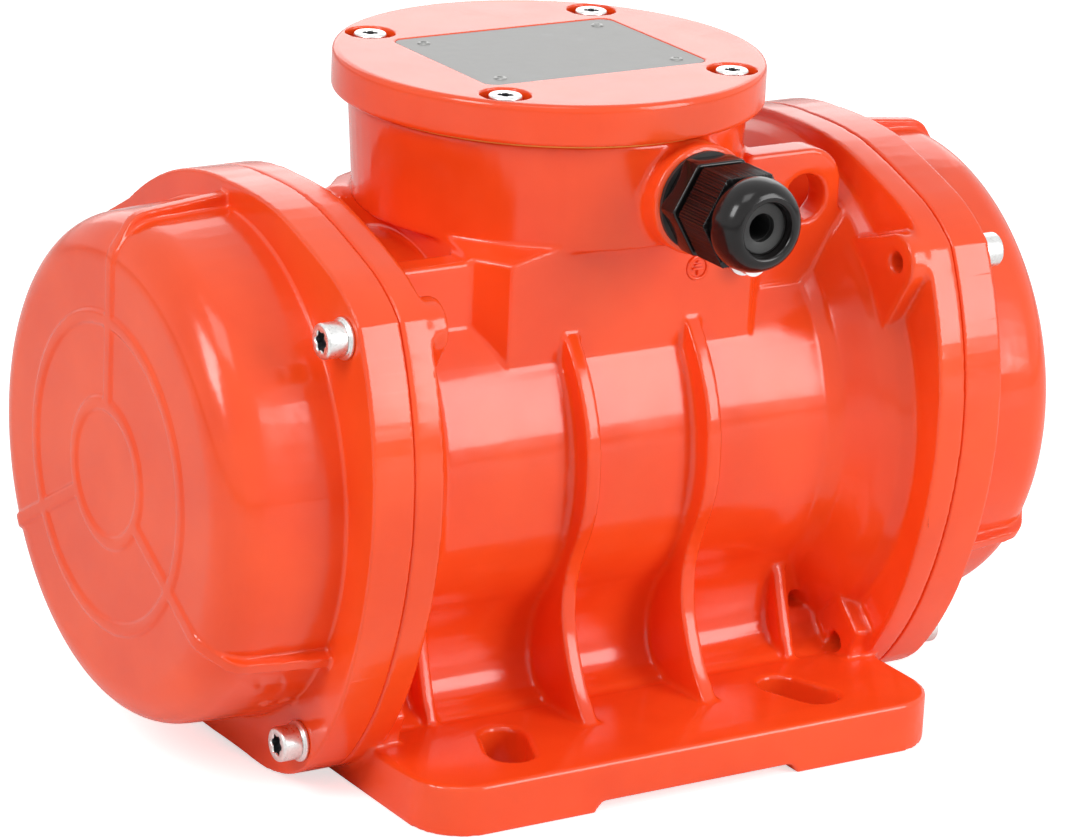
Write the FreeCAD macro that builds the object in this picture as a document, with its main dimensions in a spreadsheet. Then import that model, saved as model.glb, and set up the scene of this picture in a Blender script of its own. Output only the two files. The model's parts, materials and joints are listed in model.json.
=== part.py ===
import FreeCAD, Part
import math
import os
import Sketcher

V = FreeCAD.Vector
doc = FreeCAD.newDocument("vibration_motor")
sheet = doc.addObject("Spreadsheet::Sheet", "sheet")

# ---------------------------------------------------------------- driving dimensions (mm)
SIZES = dict(
    axis_height=85.0,
    # housing
    barrel_radius=59.5, stator_bore=50.0, bracket_bore=66.0, bracket_screw_circle=54.8,
    flange_depth=9.3, boss_radius=8.5, boss_depth=5.8,
    base_half_length=86.0, base_half_width=97.0, base_thickness=14.8, base_corner=16.0,
    foot_recess_half=33.0, foot_recess_depth=3.0, saddle_half_length=68.0,
    slot_centre_length=49.5, slot_centre_width=73.0, slot_travel=12.5, slot_width=13.0, slot_angle=22.0,
    rib_position=20.3, rib_width=5.0, end_rib_position=61.5, end_rib_width=4.4,
    pedestal_half_length=49.0, pedestal_half_width=50.0, pedestal_top=151.0,
    web_inner=31.5, web_outer=41.0, web_top=147.2,
    lug_top=168.0, lug_hole_across=64.0, lug_hole_height=153.4, lug_hole_radius=7.0,
    tower_foot_radius=55.6, tower_radius=57.7, tower_bore=50.0,
    gland_across=12.5, gland_height=164.3, gland_boss_radius=16.0, gland_boss_face=63.9,
    # covers
    cover_flange=12.8, cover_radius=74.8, cover_nose_radius=72.0, cover_wall=4.0,
    ring_outer=44.4, ring_inner=20.0, ring_height=0.8, ring_width=3.4, cover_rib_width=3.8,
    cover_screw_top_across=69.2, cover_screw_top_up=55.2,
    cover_screw_rear_across=82.0, cover_screw_rear_up=33.2,
    cover_screw_low_across=51.7, cover_screw_low_down=67.5,
    # lid
    gasket_thickness=1.2, lid_radius=62.5, lid_thickness=11.8, lid_screw_circle=53.4,
    lid_recess_radius=7.2, plate_length=73.4, plate_width=55.0, plate_thickness=0.8,
    # shaft line
    shaft_radius=17.5, bearing_bore=15.0, bearing_outer=31.0, bearing_width=16.0,
    weight_seat=12.5, core_half_length=35.0, rotor_radius=29.6, stator_tooth=30.0,
    weight_radius=60.0, weight_hub=21.0, weight_thickness=15.0, weight_gap=1.0,
)
# sizes that keep a fixed distance from another one, the second listed here
TIED = dict(
    joint_plane=("base_half_length", 5.7), bracket_shoulder=("joint_plane", -15.7),
    bearing_start=("joint_plane", -27.7), fixed_weight_start=("joint_plane", 5.3),
    cover_face=("joint_plane", 48.1), shaft_end=("joint_plane", 40.3), lug_end=("joint_plane", -15.7),
    tower_top=("gland_height", 16.2), tower_floor=("gland_height", -12.3),
)
for name, (other, away) in TIED.items():
    SIZES[name] = SIZES[other] + away
for row, (name, value) in enumerate(SIZES.items(), start=1):
    sheet.set("A%d" % row, name)
    sheet.set("B%d" % row, "=%s + %g" % TIED[name] if name in TIED else "%g" % value)
    sheet.setAlias("B%d" % row, name)
doc.recompute()


class Dim:
    """A length tied to the sheet: a number together with the expression that drives it."""

    def __init__(self, value, text):
        self.value = value
        self.text = text

    def _join(self, other, result, sign, swap=False):
        a, b = (txt(other), self.text) if swap else (self.text, txt(other))
        return Dim(result, "(%s %s %s)" % (a, sign, b))

    def __add__(self, other):
        return self._join(other, self.value + num(other), "+")

    def __radd__(self, other):
        return self._join(other, num(other) + self.value, "+", True)

    def __sub__(self, other):
        return self._join(other, self.value - num(other), "-")

    def __rsub__(self, other):
        return self._join(other, num(other) - self.value, "-", True)

    def __mul__(self, other):
        return self._join(other, self.value * num(other), "*")

    def __rmul__(self, other):
        return self._join(other, num(other) * self.value, "*", True)

    def __neg__(self):
        return Dim(-self.value, "(0 - %s)" % self.text)


def num(x):
    return x.value if isinstance(x, Dim) else float(x)


def txt(x):
    return x.text if isinstance(x, Dim) else "%.6g" % x


D = {name: Dim(value, "sheet." + name) for name, value in SIZES.items()}
AX = D["axis_height"]


def bind(obj, prop, size):
    """Give a property its value and, when the size comes from the sheet, its expression."""
    if prop.startswith("Placement."):
        base = obj.Placement.Base
        setattr(base, prop[-1], num(size))
        obj.Placement = FreeCAD.Placement(base, obj.Placement.Rotation)
    else:
        setattr(obj, prop, num(size))
    if isinstance(size, Dim):
        obj.setExpression(prop, size.text)


# ---------------------------------------------------------------- sketches
TURN = {
    "XY": FreeCAD.Rotation(),
    "XZ": FreeCAD.Rotation(V(1, 0, 0), V(0, 0, 1), V(0, -1, 0), "ZXY"),
    "YZ": FreeCAD.Rotation(V(0, 1, 0), V(0, 0, 1), V(1, 0, 0), "ZXY"),
}
ROLE = {"XY": "XY_Plane", "XZ": "XZ_Plane", "YZ": "YZ_Plane"}
count = [0]


def fresh(stem):
    count[0] += 1
    return "%s_%d" % (stem, count[0])


def pin_point(sk, geo, pos, point):
    """Hold one sketch point at its two coordinates."""
    for kind, size in (("DistanceX", point[0]), ("DistanceY", point[1])):
        n = sk.addConstraint(Sketcher.Constraint(kind, -1, 1, geo, pos, num(size)))
        if isinstance(size, Dim):
            sk.setExpression("Constraints[%d]" % n, size.text)


def loop(sk, points):
    """Closed outline of straight edges through points that may come from the sheet."""
    ends = [V(num(p[0]), num(p[1]), 0) for p in points]
    first = sk.GeometryCount
    n = len(ends)
    sk.addGeometry([Part.LineSegment(ends[i], ends[(i + 1) % n]) for i in range(n)], False)
    for i in range(n):
        sk.addConstraint(Sketcher.Constraint("Coincident", first + i, 2, first + (i + 1) % n, 1))
        pin_point(sk, first + i, 1, points[i])


def circle(sk, centre, radius):
    geo = sk.addGeometry(Part.Circle(V(num(centre[0]), num(centre[1]), 0), V(0, 0, 1), num(radius)), False)
    n = sk.addConstraint(Sketcher.Constraint("Radius", geo, num(radius)))
    if isinstance(radius, Dim):
        sk.setExpression("Constraints[%d]" % n, radius.text)
    pin_point(sk, geo, 3, centre)


def chain(sk, pieces):
    """Closed outline of given lines and arcs, each joined to the next."""
    first = sk.GeometryCount
    sk.addGeometry(pieces, False)
    for i in range(len(pieces)):
        sk.addConstraint(Sketcher.Constraint("Block", first + i))


def arcs_through(points):
    """Smooth run of arcs through an odd number of points."""
    out = []
    for i in range(0, len(points) - 2, 2):
        a, b, c = [V(p[0], p[1], 0) for p in points[i:i + 3]]
        out.append(Part.Arc(a, b, c))
    return out


def rounded(points):
    """Lines and arcs of a polygon whose corners are (x, y) or (x, y, radius)."""
    n = len(points)
    out, ends = [], []
    for i in range(n):
        p = V(num(points[i][0]), num(points[i][1]), 0)
        r = num(points[i][2]) if len(points[i]) > 2 else 0.0
        if r <= 0:
            ends.append((p, p))
            continue
        a = V(num(points[i - 1][0]), num(points[i - 1][1]), 0) - p
        b = V(num(points[(i + 1) % n][0]), num(points[(i + 1) % n][1]), 0) - p
        a.normalize()
        b.normalize()
        half = a.getAngle(b) / 2
        reach = r / math.tan(half)
        mid = (a + b).normalize()
        centre = p + mid * (r / math.sin(half))
        ends.append((p + a * reach, p + b * reach, centre - mid * r))
    for i in range(n):
        if len(ends[i]) == 3:
            out.append(Part.Arc(ends[i][0], ends[i][2], ends[i][1]))
        q = ends[(i + 1) % n][0]
        if (q - ends[i][1]).Length > 1e-6:
            out.append(Part.LineSegment(ends[i][1], q))
    return out


def free_sketch(plane, offset, draw):
    """Sketch standing on its own in the XY, XZ or YZ plane, moved along that plane's normal."""
    sk = doc.addObject("Sketcher::SketchObject", fresh("outline"))
    sk.Placement = FreeCAD.Placement(V(0, 0, 0), TURN[plane])
    along, sign = {"XY": ("z", 1), "XZ": ("y", -1), "YZ": ("x", 1)}[plane]
    bind(sk, "Placement.Base." + along, offset if sign > 0 else 0 - offset)
    draw(sk)
    return sk


def prism(plane, offset, length, draw):
    """Straight solid from a sketch, growing along the plane's normal."""
    sk = free_sketch(plane, offset, draw)
    solid = doc.addObject("Part::Extrusion", fresh("prism"))
    solid.Base = sk
    solid.DirMode = "Normal"
    solid.Solid = True
    bind(solid, "LengthFwd", length)
    return solid


def lathe(points, axis="X", rounds=False):
    """Turned solid about the shaft line (axis X) or about the upright centre line (axis Z)."""
    def draw(sk):
        chain(sk, rounded(points)) if rounds else loop(sk, points)
    sk = free_sketch("XZ", 0, draw)
    solid = doc.addObject("Part::Revolution", fresh("turned"))
    solid.Source = sk
    solid.Axis = V(1, 0, 0) if axis == "X" else V(0, 0, 1)
    solid.Base = V(0, 0, 0)
    solid.Angle = 360
    solid.Solid = True
    return solid


def rod(axis, start, length, centre, radius):
    """Cylinder along X, Y or Z; centre holds the two other coordinates in order."""
    c = doc.addObject("Part::Cylinder", fresh("rod"))
    turn = {"X": FreeCAD.Rotation(V(0, 1, 0), 90), "Y": FreeCAD.Rotation(V(1, 0, 0), -90), "Z": FreeCAD.Rotation()}
    c.Placement = FreeCAD.Placement(V(0, 0, 0), turn[axis])
    order = {"X": (start, centre[0], centre[1]), "Y": (centre[0], start, centre[1]),
             "Z": (centre[0], centre[1], start)}[axis]
    for name, size in zip("xyz", order):
        bind(c, "Placement.Base." + name, size)
    bind(c, "Radius", radius)
    bind(c, "Height", length)
    return c


def hexagon(axis, start, length, centre, across, turn_angle=0.0):
    """Six-sided bar along X, Y or Z measured across its flats."""
    p = doc.addObject("Part::Prism", fresh("hexagon"))
    p.Polygon = 6
    bind(p, "Circumradius", across * (1 / math.sqrt(3)))
    bind(p, "Height", length)
    turn = {"X": FreeCAD.Rotation(V(0, 1, 0), 90), "Y": FreeCAD.Rotation(V(1, 0, 0), -90), "Z": FreeCAD.Rotation()}
    spin = FreeCAD.Rotation(V(0, 0, 1), turn_angle)
    order = {"X": (start, centre[0], centre[1]), "Y": (centre[0], start, centre[1]),
             "Z": (centre[0], centre[1], start)}[axis]
    p.Placement = FreeCAD.Placement(V(*[num(v) for v in order]), turn[axis].multiply(spin))
    for name, size in zip("xyz", order):
        if isinstance(size, Dim):
            p.setExpression("Placement.Base." + name, size.text)
    return p


def block(x, y, z):
    """Box between pairs of limits."""
    b = doc.addObject("Part::Box", fresh("block"))
    for name, pair, side in (("x", x, "Length"), ("y", y, "Width"), ("z", z, "Height")):
        bind(b, "Placement.Base." + name, pair[0])
        bind(b, side, pair[1] - pair[0])
    return b


def join(parts):
    f = doc.addObject("Part::MultiFuse", fresh("joined"))
    f.Shapes = parts
    f.Refine = True
    return f


def minus(base, tools):
    c = doc.addObject("Part::Cut", fresh("trimmed"))
    c.Base = base
    c.Tool = tools[0] if len(tools) == 1 else join(tools)
    c.Refine = True
    return c


NODES = {}
RAISE = FreeCAD.Placement(V(0, 0, SIZES["axis_height"]), FreeCAD.Rotation())
TURNED = FreeCAD.Placement(V(0, 0, SIZES["axis_height"]), FreeCAD.Rotation(V(0, 0, 1), 180))


def node(label, solid, on_axis=False, turned=False):
    """Name a finished piece; pieces drawn about the shaft line are raised to it."""
    solid.Label = label
    if on_axis:
        solid.Placement = TURNED if turned else RAISE
        solid.setExpression("Placement.Base.z", "sheet.axis_height")
    NODES[label] = solid
    return solid


# PartDesign bodies -------------------------------------------------------------------
def body_sketch(body, plane, offset, draw):
    sk = body.newObject("Sketcher::SketchObject", fresh("profile"))
    base = next(f for f in body.Origin.OriginFeatures if f.Role == ROLE[plane])
    sk.AttachmentSupport = [(base, "")]
    sk.MapMode = "FlatFace"
    sk.AttachmentOffset = FreeCAD.Placement(V(0, 0, num(offset)), FreeCAD.Rotation())
    if isinstance(offset, Dim):
        sk.setExpression("AttachmentOffset.Base.z", offset.text)
    draw(sk)
    doc.recompute()
    return sk


def new_body(label, on_axis=True, turned=False):
    body = doc.addObject("PartDesign::Body", fresh("body"))
    return node(label, body, on_axis, turned)


def spun(body, points, rounds=False, axis="H_Axis", cut=False):
    def draw(sk):
        chain(sk, rounded(points)) if rounds else loop(sk, points)
    sk = body_sketch(body, "XZ", 0, draw)
    rev = body.newObject("PartDesign::Groove" if cut else "PartDesign::Revolution", fresh("spun"))
    rev.Profile = sk
    rev.ReferenceAxis = (sk, [axis])
    rev.Angle = 360
    body.Tip = rev
    return rev


def padded(body, plane, offset, length, draw, reverse=False):
    pad = body.newObject("PartDesign::Pad", fresh("pad"))
    pad.Profile = body_sketch(body, plane, offset, draw)
    pad.Reversed = reverse
    bind(pad, "Length", length)
    body.Tip = pad
    return pad


def pocketed(body, plane, offset, length, draw, reverse=False):
    """Pocket that cuts along the plane's normal, or against it when reversed."""
    pocket = body.newObject("PartDesign::Pocket", fresh("pocket"))
    pocket.Profile = body_sketch(body, plane, offset, draw)
    pocket.Reversed = not reverse
    bind(pocket, "Length", length)
    body.Tip = pocket
    return pocket


def around(body, feature, axis, times):
    """Repeat a feature evenly about one of the body's own axes."""
    pattern = body.newObject("PartDesign::PolarPattern", fresh("around"))
    pattern.Originals = [feature]
    line = next(f for f in body.Origin.OriginFeatures if f.Role == axis)
    pattern.Axis = (line, [""])
    pattern.Angle = 360
    pattern.Occurrences = times
    body.Tip = pattern
    return pattern


# ---------------------------------------------------------------- shared outlines
# Lobed flange outlines: angle above the horizontal and distance from the shaft line.
FOOT = [(-90, 83.2), (-83, 83.6), (-76, 85.6), (-70, 88.6), (-64, 91.0), (-58, 92.6), (-52, 92.7),
        (-45, 90.9), (-35, 88.6)]
FLANGE = FOOT + [(-20, 86.5), (0, 87.4), (15, 90.1), (25, 92.5), (32, 94.6),
                 (38.5, 96.9), (45, 94.9), (52, 91.4), (60, 88.0), (70, 85.4), (80, 82.9), (90, 81.4)]
REAR_FLANGE = FOOT + [(-20, 87.0), (-8, 87.4), (4, 90.0), (12, 93.6), (18, 96.4), (22, 96.9), (27, 95.8),
                      (34, 91.4), (40, 87.2), (46, 84.3), (54, 83.3), (64, 82.5), (77, 81.8), (90, 81.4)]


def flange_draw(hand=1):
    """Outline drawer for the joint flange: its rear upper lobe sits lower than the front one.

    A hand of -1 draws the mirror image, for a piece that is then turned to the other end."""
    front, rear = (FLANGE, REAR_FLANGE) if hand > 0 else (REAR_FLANGE, FLANGE)
    left = [(-r * math.cos(math.radians(a)), r * math.sin(math.radians(a))) for a, r in front]
    right = [(r * math.cos(math.radians(a)), r * math.sin(math.radians(a))) for a, r in reversed(rear)]

    def draw(sk):
        chain(sk, arcs_through(left) + arcs_through(right))
    return draw


def mirror_y(points):
    """Front half outline (y < 0, going down) closed by its own mirror image."""
    return points + [(-y, z) for y, z in reversed(points)]


COVER_SCREWS = [(-D["cover_screw_top_across"], D["cover_screw_top_up"]),
                (D["cover_screw_rear_across"], D["cover_screw_rear_up"])]
COVER_SCREWS += [(s * D["cover_screw_low_across"], -D["cover_screw_low_down"]) for s in (-1, 1)]


EARTH = (37.0, 141.3)


def circle_at(angle):
    """Place on the bracket's screw circle."""
    r = D["bracket_screw_circle"]
    return math.cos(math.radians(angle)) * r, math.sin(math.radians(angle)) * r


# ---------------------------------------------------------------- housing casting
def make_housing():
    joint, depth = D["joint_plane"], D["flange_depth"]
    inner = joint - depth
    r = D["barrel_radius"]
    side = [(0, r), (joint - 27.7, r), (joint - 23.7, r + 2.5), (joint - 17.7, r + 11.5), (joint - 13.7, r + 16),
            (inner, r + 18.5),
            (inner, r + 22), (joint, r + 22), (joint, 0)]
    barrel = side + [(0 - x, y) for x, y in reversed(side[1:])]
    add = []
    turned = lathe(barrel)
    turned.Placement.Base = V(0, 0, SIZES["axis_height"])
    turned.setExpression("Placement.Base.z", "sheet.axis_height")
    add.append(turned)

    for start in (0 - joint, inner):
        rim = prism("YZ", start, depth, flange_draw())
        rim.Base.setExpression("Placement.Base.z", "sheet.axis_height")
        add.append(rim)
    # tapered pads that carry the screw bosses down to the barrel and the saddle
    pads = []
    for y, z in COVER_SCREWS[:2]:
        y, z = num(y), num(z)
        far = math.hypot(y, z)
        u, v = y / far, z / far
        pads.append([(57 * u + 20 * v, 57 * v - 20 * u), ((far + 4) * u + 7.4 * v, (far + 4) * v - 7.4 * u),
                     ((far + 4) * u - 7.4 * v, (far + 4) * v + 7.4 * u), (57 * u - 20 * v, 57 * v + 20 * u)])
    for s in (-1, 1):
        pads.append([(s * y, z) for y, z in ((38, -71.5), (43, -48.6), (48.5, -48), (63, -61), (60, -67), (57, -71.5))])
    for start in (0 - inner, inner - D["boss_depth"]):
        for y, z in COVER_SCREWS:
            add.append(rod("X", start, D["boss_depth"], (y, AX + z), D["boss_radius"]))
        for pad in pads:
            gusset = prism("YZ", start, D["boss_depth"], lambda sk, pad=pad: loop(sk, pad))
            gusset.Base.setExpression("Placement.Base.z", "sheet.axis_height")
            add.append(gusset)

    # base plate with rounded corners
    hx, hy, c = D["base_half_length"], D["base_half_width"], D["base_corner"]
    plate = [(0 - hx, 0 - hy, c), (hx, 0 - hy, c), (hx, hy, c), (0 - hx, hy, c)]
    add.append(prism("XY", 0, D["base_thickness"], lambda sk: chain(sk, rounded(plate))))

    # saddle between barrel and base
    wall = [(-56.0, 13.0), (-50.5, 15.4), (-45.6, 17.4), (-42.2, 20.9), (-40.6, 25.6), (-40.2, 31.0), (-40.6, 36.0),
            (-42.2, 41.0), (-45.0, 46.0)]
    saddle = arcs_through(wall) + [Part.LineSegment(V(-45, 46, 0), V(-45, 80, 0)),
                                   Part.LineSegment(V(-45, 80, 0), V(45, 80, 0)),
                                   Part.LineSegment(V(45, 80, 0), V(45, 46, 0))]
    saddle += arcs_through([(-y, z) for y, z in reversed(wall)])
    saddle.append(Part.LineSegment(V(56, 13, 0), V(-56, 13, 0)))
    half = D["saddle_half_length"]
    add.append(prism("YZ", 0 - half, half * 2, lambda sk: chain(sk, saddle)))

    # long ribs standing over the barrel and running down to the base
    crest = [(-46.0, 129.5), (-55.0, 119.8), (-61.6, 108.6), (-65.4, 96.0), (-66.1, 85.0), (-64.6, 75.0),
             (-61.2, 66.0), (-57.8, 57.0), (-56.3, 49.0), (-57.0, 40.5), (-59.8, 32.0), (-65.0, 22.5),
             (-73.6, 13.0)]
    rib = arcs_through(crest) + [Part.LineSegment(V(-73.6, 13, 0), V(73.6, 13, 0))]
    rib += arcs_through([(-y, z) for y, z in reversed(crest)])
    rib.append(Part.LineSegment(V(46, 129.5, 0), V(-46, 129.5, 0)))
    for s in (-1, 1):
        start = s * D["rib_position"] - D["rib_width"] * 0.5
        add.append(prism("YZ", start, D["rib_width"], lambda sk: chain(sk, rib)))

    # short ribs near the flanges
    crest = [(-38.0, 46.5), (-42.2, 42.6), (-44.2, 38.0), (-45.9, 32.0), (-47.8, 26.0), (-50.2, 19.5), (-53.6, 13.0)]
    low = arcs_through(crest) + [Part.LineSegment(V(-53.6, 13, 0), V(53.6, 13, 0))]
    low += arcs_through([(-y, z) for y, z in reversed(crest)])
    low.append(Part.LineSegment(V(38, 46.5, 0), V(-38, 46.5, 0)))
    for s in (-1, 1):
        start = s * D["end_rib_position"] - D["end_rib_width"] * 0.5
        add.append(prism("YZ", start, D["end_rib_width"], lambda sk: chain(sk, low)))

    # pedestal carrying the terminal tower
    px, py, top = D["pedestal_half_length"], D["pedestal_half_width"], D["pedestal_top"]
    foot = [(0 - px, 0 - py + 10), (0 - px + 8.5, 0 - py), (px - 8.5, 0 - py), (px, 0 - py + 10),
            (px, py - 10), (px - 8.5, py), (0 - px + 8.5, py), (0 - px, py - 10)]
    block_up = prism("XY", 95, top - 95, lambda sk: loop(sk, foot))
    tower_foot = D["tower_foot_radius"]
    slope = lathe([(0, 90), (80, 90), (80, top - 9.8), (tower_foot, top), (0, top)], "Z")
    common = doc.addObject("Part::Common", "pedestal")
    common.Base = block_up
    common.Tool = slope
    add.append(common)

    # webs between pedestal and flanges, one of them raised as a lifting lug
    wi, wo, wt = D["web_inner"], D["web_outer"], D["web_top"]
    for x in ((0 - inner - 0.5, 0 - px + 1), (px - 1, inner + 0.5)):
        for y in ((0 - wo, 0 - wi), (wi, wo)):
            add.append(block(x, y, (112, wt)))
    lug = [(px - 6, 120), (D["lug_end"], 120), (D["lug_end"], D["lug_top"], 11), (px - 6, D["lug_top"], 2)]
    add.append(prism("XZ", wi, wo - wi, lambda sk: chain(sk, rounded(lug))))

    # round terminal tower with the raised gland seat
    tower = [(0, 140), (D["tower_foot_radius"], 140), (D["tower_foot_radius"], 151),
             (D["tower_radius"], D["tower_top"]), (0, D["tower_top"])]
    cone = lathe(tower, "Z")
    add.append(minus(cone, [block((-70, 70), (-70, 70), (130, 149.4))]))
    gx, gz, gf = D["gland_across"], D["gland_height"], D["gland_boss_face"]
    add.append(rod("Y", 0 - gf, gf - 45, (gx, gz), D["gland_boss_radius"]))

    # what is taken away
    cut = []
    half = D["bracket_shoulder"]
    cut.append(rod("X", 0 - joint - 1, joint * 2 + 2, (0, AX), D["stator_bore"] + 0.02))
    cut.append(rod("X", 0 - joint - 1, joint + 1 - half, (0, AX), D["bracket_bore"]))
    cut.append(rod("X", half, joint + 1 - half, (0, AX), D["bracket_bore"]))
    well = rod("Z", D["tower_floor"], D["tower_top"] - D["tower_floor"] + 1, (0, 0), D["tower_bore"])
    posts = []
    for i in range(4):
        k = math.cos(math.radians(45)) * (1 if i in (0, 3) else -1)
        m = math.cos(math.radians(45)) * (1 if i < 2 else -1)
        spot = (D["lid_screw_circle"] * k, D["lid_screw_circle"] * m)
        posts.append(rod("Z", D["tower_floor"], 40, spot, 7.5))
        cut.append(rod("Z", D["tower_top"] - 13, 14, spot, 2.5))
    cut.append(minus(well, posts))
    cut.append(rod("Z", 120, 40, (-39.5, 0), 8.0))
    cut.append(rod("Y", 0 - gf - 1, gf + 1 - 40, (gx, gz), 10.0))
    cut.append(rod("Y", 0 - wo - 1, wo - wi + 2, (D["lug_hole_across"], D["lug_hole_height"]), D["lug_hole_radius"]))
    for y, z in COVER_SCREWS:
        cut.append(rod("X", 0 - joint - 1, joint * 2 + 2, (y, AX + z), 3.0))
    for a in (0, 90, 180, 270):
        y, z = circle_at(a)
        for start in (0 - half - 0.5, half - 13):
            cut.append(rod("X", start, 13.5, (y, AX + z), 2.0))
    w = D["foot_recess_half"]
    recess = [(0 - w - 2, -1), (w + 2, -1), (w - 1, D["foot_recess_depth"]), (1 - w, D["foot_recess_depth"])]
    cut.append(prism("XZ", -100, 200, lambda sk: loop(sk, recess)))
    for sx in (-1, 1):
        for sy in (-1, 1):
            a = math.radians(SIZES["slot_angle"])
            d = V(sx * math.sin(a), sy * math.cos(a), 0)
            n = V(-d.y, d.x, 0)
            c = V(sx * SIZES["slot_centre_length"], sy * SIZES["slot_centre_width"], 0)
            t, r = SIZES["slot_travel"] / 2, SIZES["slot_width"] / 2
            p, q = c + d * t, c - d * t
            pieces = [Part.LineSegment(q + n * r, p + n * r), Part.Arc(p + n * r, p + d * r, p - n * r),
                      Part.LineSegment(p - n * r, q - n * r), Part.Arc(q - n * r, q - d * r, q + n * r)]
            cut.append(prism("XY", -1, 20, lambda sk, pieces=pieces: chain(sk, pieces)))
    cut.append(rod("Y", -51, 9, EARTH, 2.5))
    for spot in ((-20.6, 0), (20.6, 0), (24, 24)):
        cut.append(rod("Z", 146.5, 7, spot, 2.05))
    return minus(join(add), cut)


node("housing", make_housing())


# ---------------------------------------------------------------- end covers
def screw_spots(hand):
    """Cover screw places for the right (1) or, before its half turn, the left (-1) end."""
    return [(y * hand, z) for y, z in COVER_SCREWS]


def make_cover(hand):
    """Pot-shaped cover drawn on the +X side about the shaft line."""
    joint, plate = D["joint_plane"], D["cover_flange"]
    face = D["cover_face"]
    r, rn, wall = D["cover_radius"], D["cover_nose_radius"], D["cover_wall"]
    shell = [(joint, 0), (joint, r), (face, rn, 13), (face, 0)]
    room = [(joint - 1, 0), (joint - 1, r - wall), (face - wall, rn - wall, 10), (face - wall, 0)]
    add = [lathe(shell, rounds=True), prism("YZ", joint, plate, flange_draw(hand))]
    for ring in (D["ring_outer"], D["ring_inner"]):
        hw = D["ring_width"] * 0.5
        top = face + D["ring_height"]
        band = [(face - 1, ring - hw), (face - 1, ring + hw), (top - 0.2, ring + hw), (top, ring + hw - 0.6),
                (top, ring - hw + 0.6), (top - 0.2, ring - hw)]
        add.append(lathe(band))
    top = face + D["ring_height"]
    ridge = [(joint + 5, 60), (joint + 5, r + 3.4), (joint + plate, r + 3.2), (face - 6.5, rn + 3.0, 8),
             (top, rn - 8.5, 8), (top, D["ring_inner"]), (face - 2, D["ring_inner"]), (face - 2, 60)]
    for angle in (0, 120, 240):
        fin = prism("XZ", 0 - D["cover_rib_width"] * 0.5, D["cover_rib_width"], lambda sk: chain(sk, rounded(ridge)))
        fin.Placement = FreeCAD.Placement(V(0, 0, 0), FreeCAD.Rotation(V(1, 0, 0), angle))
        add.append(fin)
    for x, size, rise in ((joint + 15.0, 2.7, 0.9), (joint + 20.6, 2.0, 0.6)):
        spot = prism("XY", 0 - r + 1.0 - rise, 3, lambda sk, x=x, size=size: circle(sk, (x, 0), size))
        spot.Placement = FreeCAD.Placement(V(0, 0, 0), FreeCAD.Rotation(V(1, 0, 0), -40 * hand))
        add.append(spot)
    cut = [lathe(room, rounds=True)]
    for y, z in screw_spots(hand):
        cut.append(rod("X", joint - 1, plate + 2, (y, z), 3.3))
        cut.append(rod("X", joint + plate, 12, (y, z), 7.5))
    groove = [(joint - 1, 76.4), (joint - 1, 79.4), (joint + 1.6, 79.4), (joint + 1.6, 76.4)]
    cut.append(lathe(groove))
    return minus(join(add), cut)


def make_screws(hand):
    """Four socket screws that hold one cover, heads outward on plain washers."""
    out, holes = [], []
    seat = D["joint_plane"] + D["cover_flange"]
    for y, z in screw_spots(hand):
        out.append(rod("X", D["joint_plane"] - 18, seat + 1.6 - D["joint_plane"] + 18, (y, z), 2.95))
        out.append(rod("X", seat + 1.6, 6, (y, z), 5.0))
        holes.append(hexagon("X", seat + 4.2, 4, (y, z), 5.0))
    return minus(join(out), holes)


def make_washers(hand):
    seat = D["joint_plane"] + D["cover_flange"]
    rings = [rod("X", seat, 1.6, spot, 5.9) for spot in screw_spots(hand)]
    return minus(join(rings), [rod("X", seat - 1, 4, spot, 3.2) for spot in screw_spots(hand)])


def seal_ring(label, turned):
    """Cord ring pressed in the cover's joint groove."""
    body = new_body(label, True, turned)
    start = D["joint_plane"]
    spun(body, [(start, 76.6), (start, 79.2), (start + 1.6, 79.2), (start + 1.6, 76.6)])


# ---------------------------------------------------------------- bearing brackets
def make_bracket():
    """Cast bracket that closes the motor chamber and carries one bearing."""
    start, seat = D["bearing_start"], D["bearing_outer"]
    shoulder, bore = D["bracket_shoulder"], D["bracket_bore"]
    shape = [(start - 4, 18.6), (start - 4, 38), (shoulder, 40), (shoulder, bore - 0.03), (shoulder + 12, bore - 0.03),
             (shoulder + 12, seat), (start, seat), (start, 18.6)]
    body = lathe(shape)
    cut = []
    for a in (0, 90, 180, 270):
        y, z = circle_at(a)
        cut.append(rod("X", shoulder - 1, 14, (y, z), 2.2))
        cut.append(rod("X", shoulder + 7.5, 5, (y, z), 4.0))
        y, z = 36.5 * math.cos(math.radians(a + 45)), 36.5 * math.sin(math.radians(a + 45))
        cut.append(rod("X", shoulder + 2, 11, (y, z), 2.0))
    return minus(body, cut)


def ring_of_screws(spots, start, length, shank, head_start, head_length, head, key):
    out, holes = [], []
    for y, z in spots:
        out.append(rod("X", start, length, (y, z), shank))
        out.append(rod("X", head_start, head_length, (y, z), head))
        holes.append(hexagon("X", head_start + head_length - 2.2, 3, (y, z), key))
    return minus(join(out), holes)


def spots(radius, first):
    return [(radius * math.cos(math.radians(first + 90 * i)), radius * math.sin(math.radians(first + 90 * i)))
            for i in range(4)]


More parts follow.
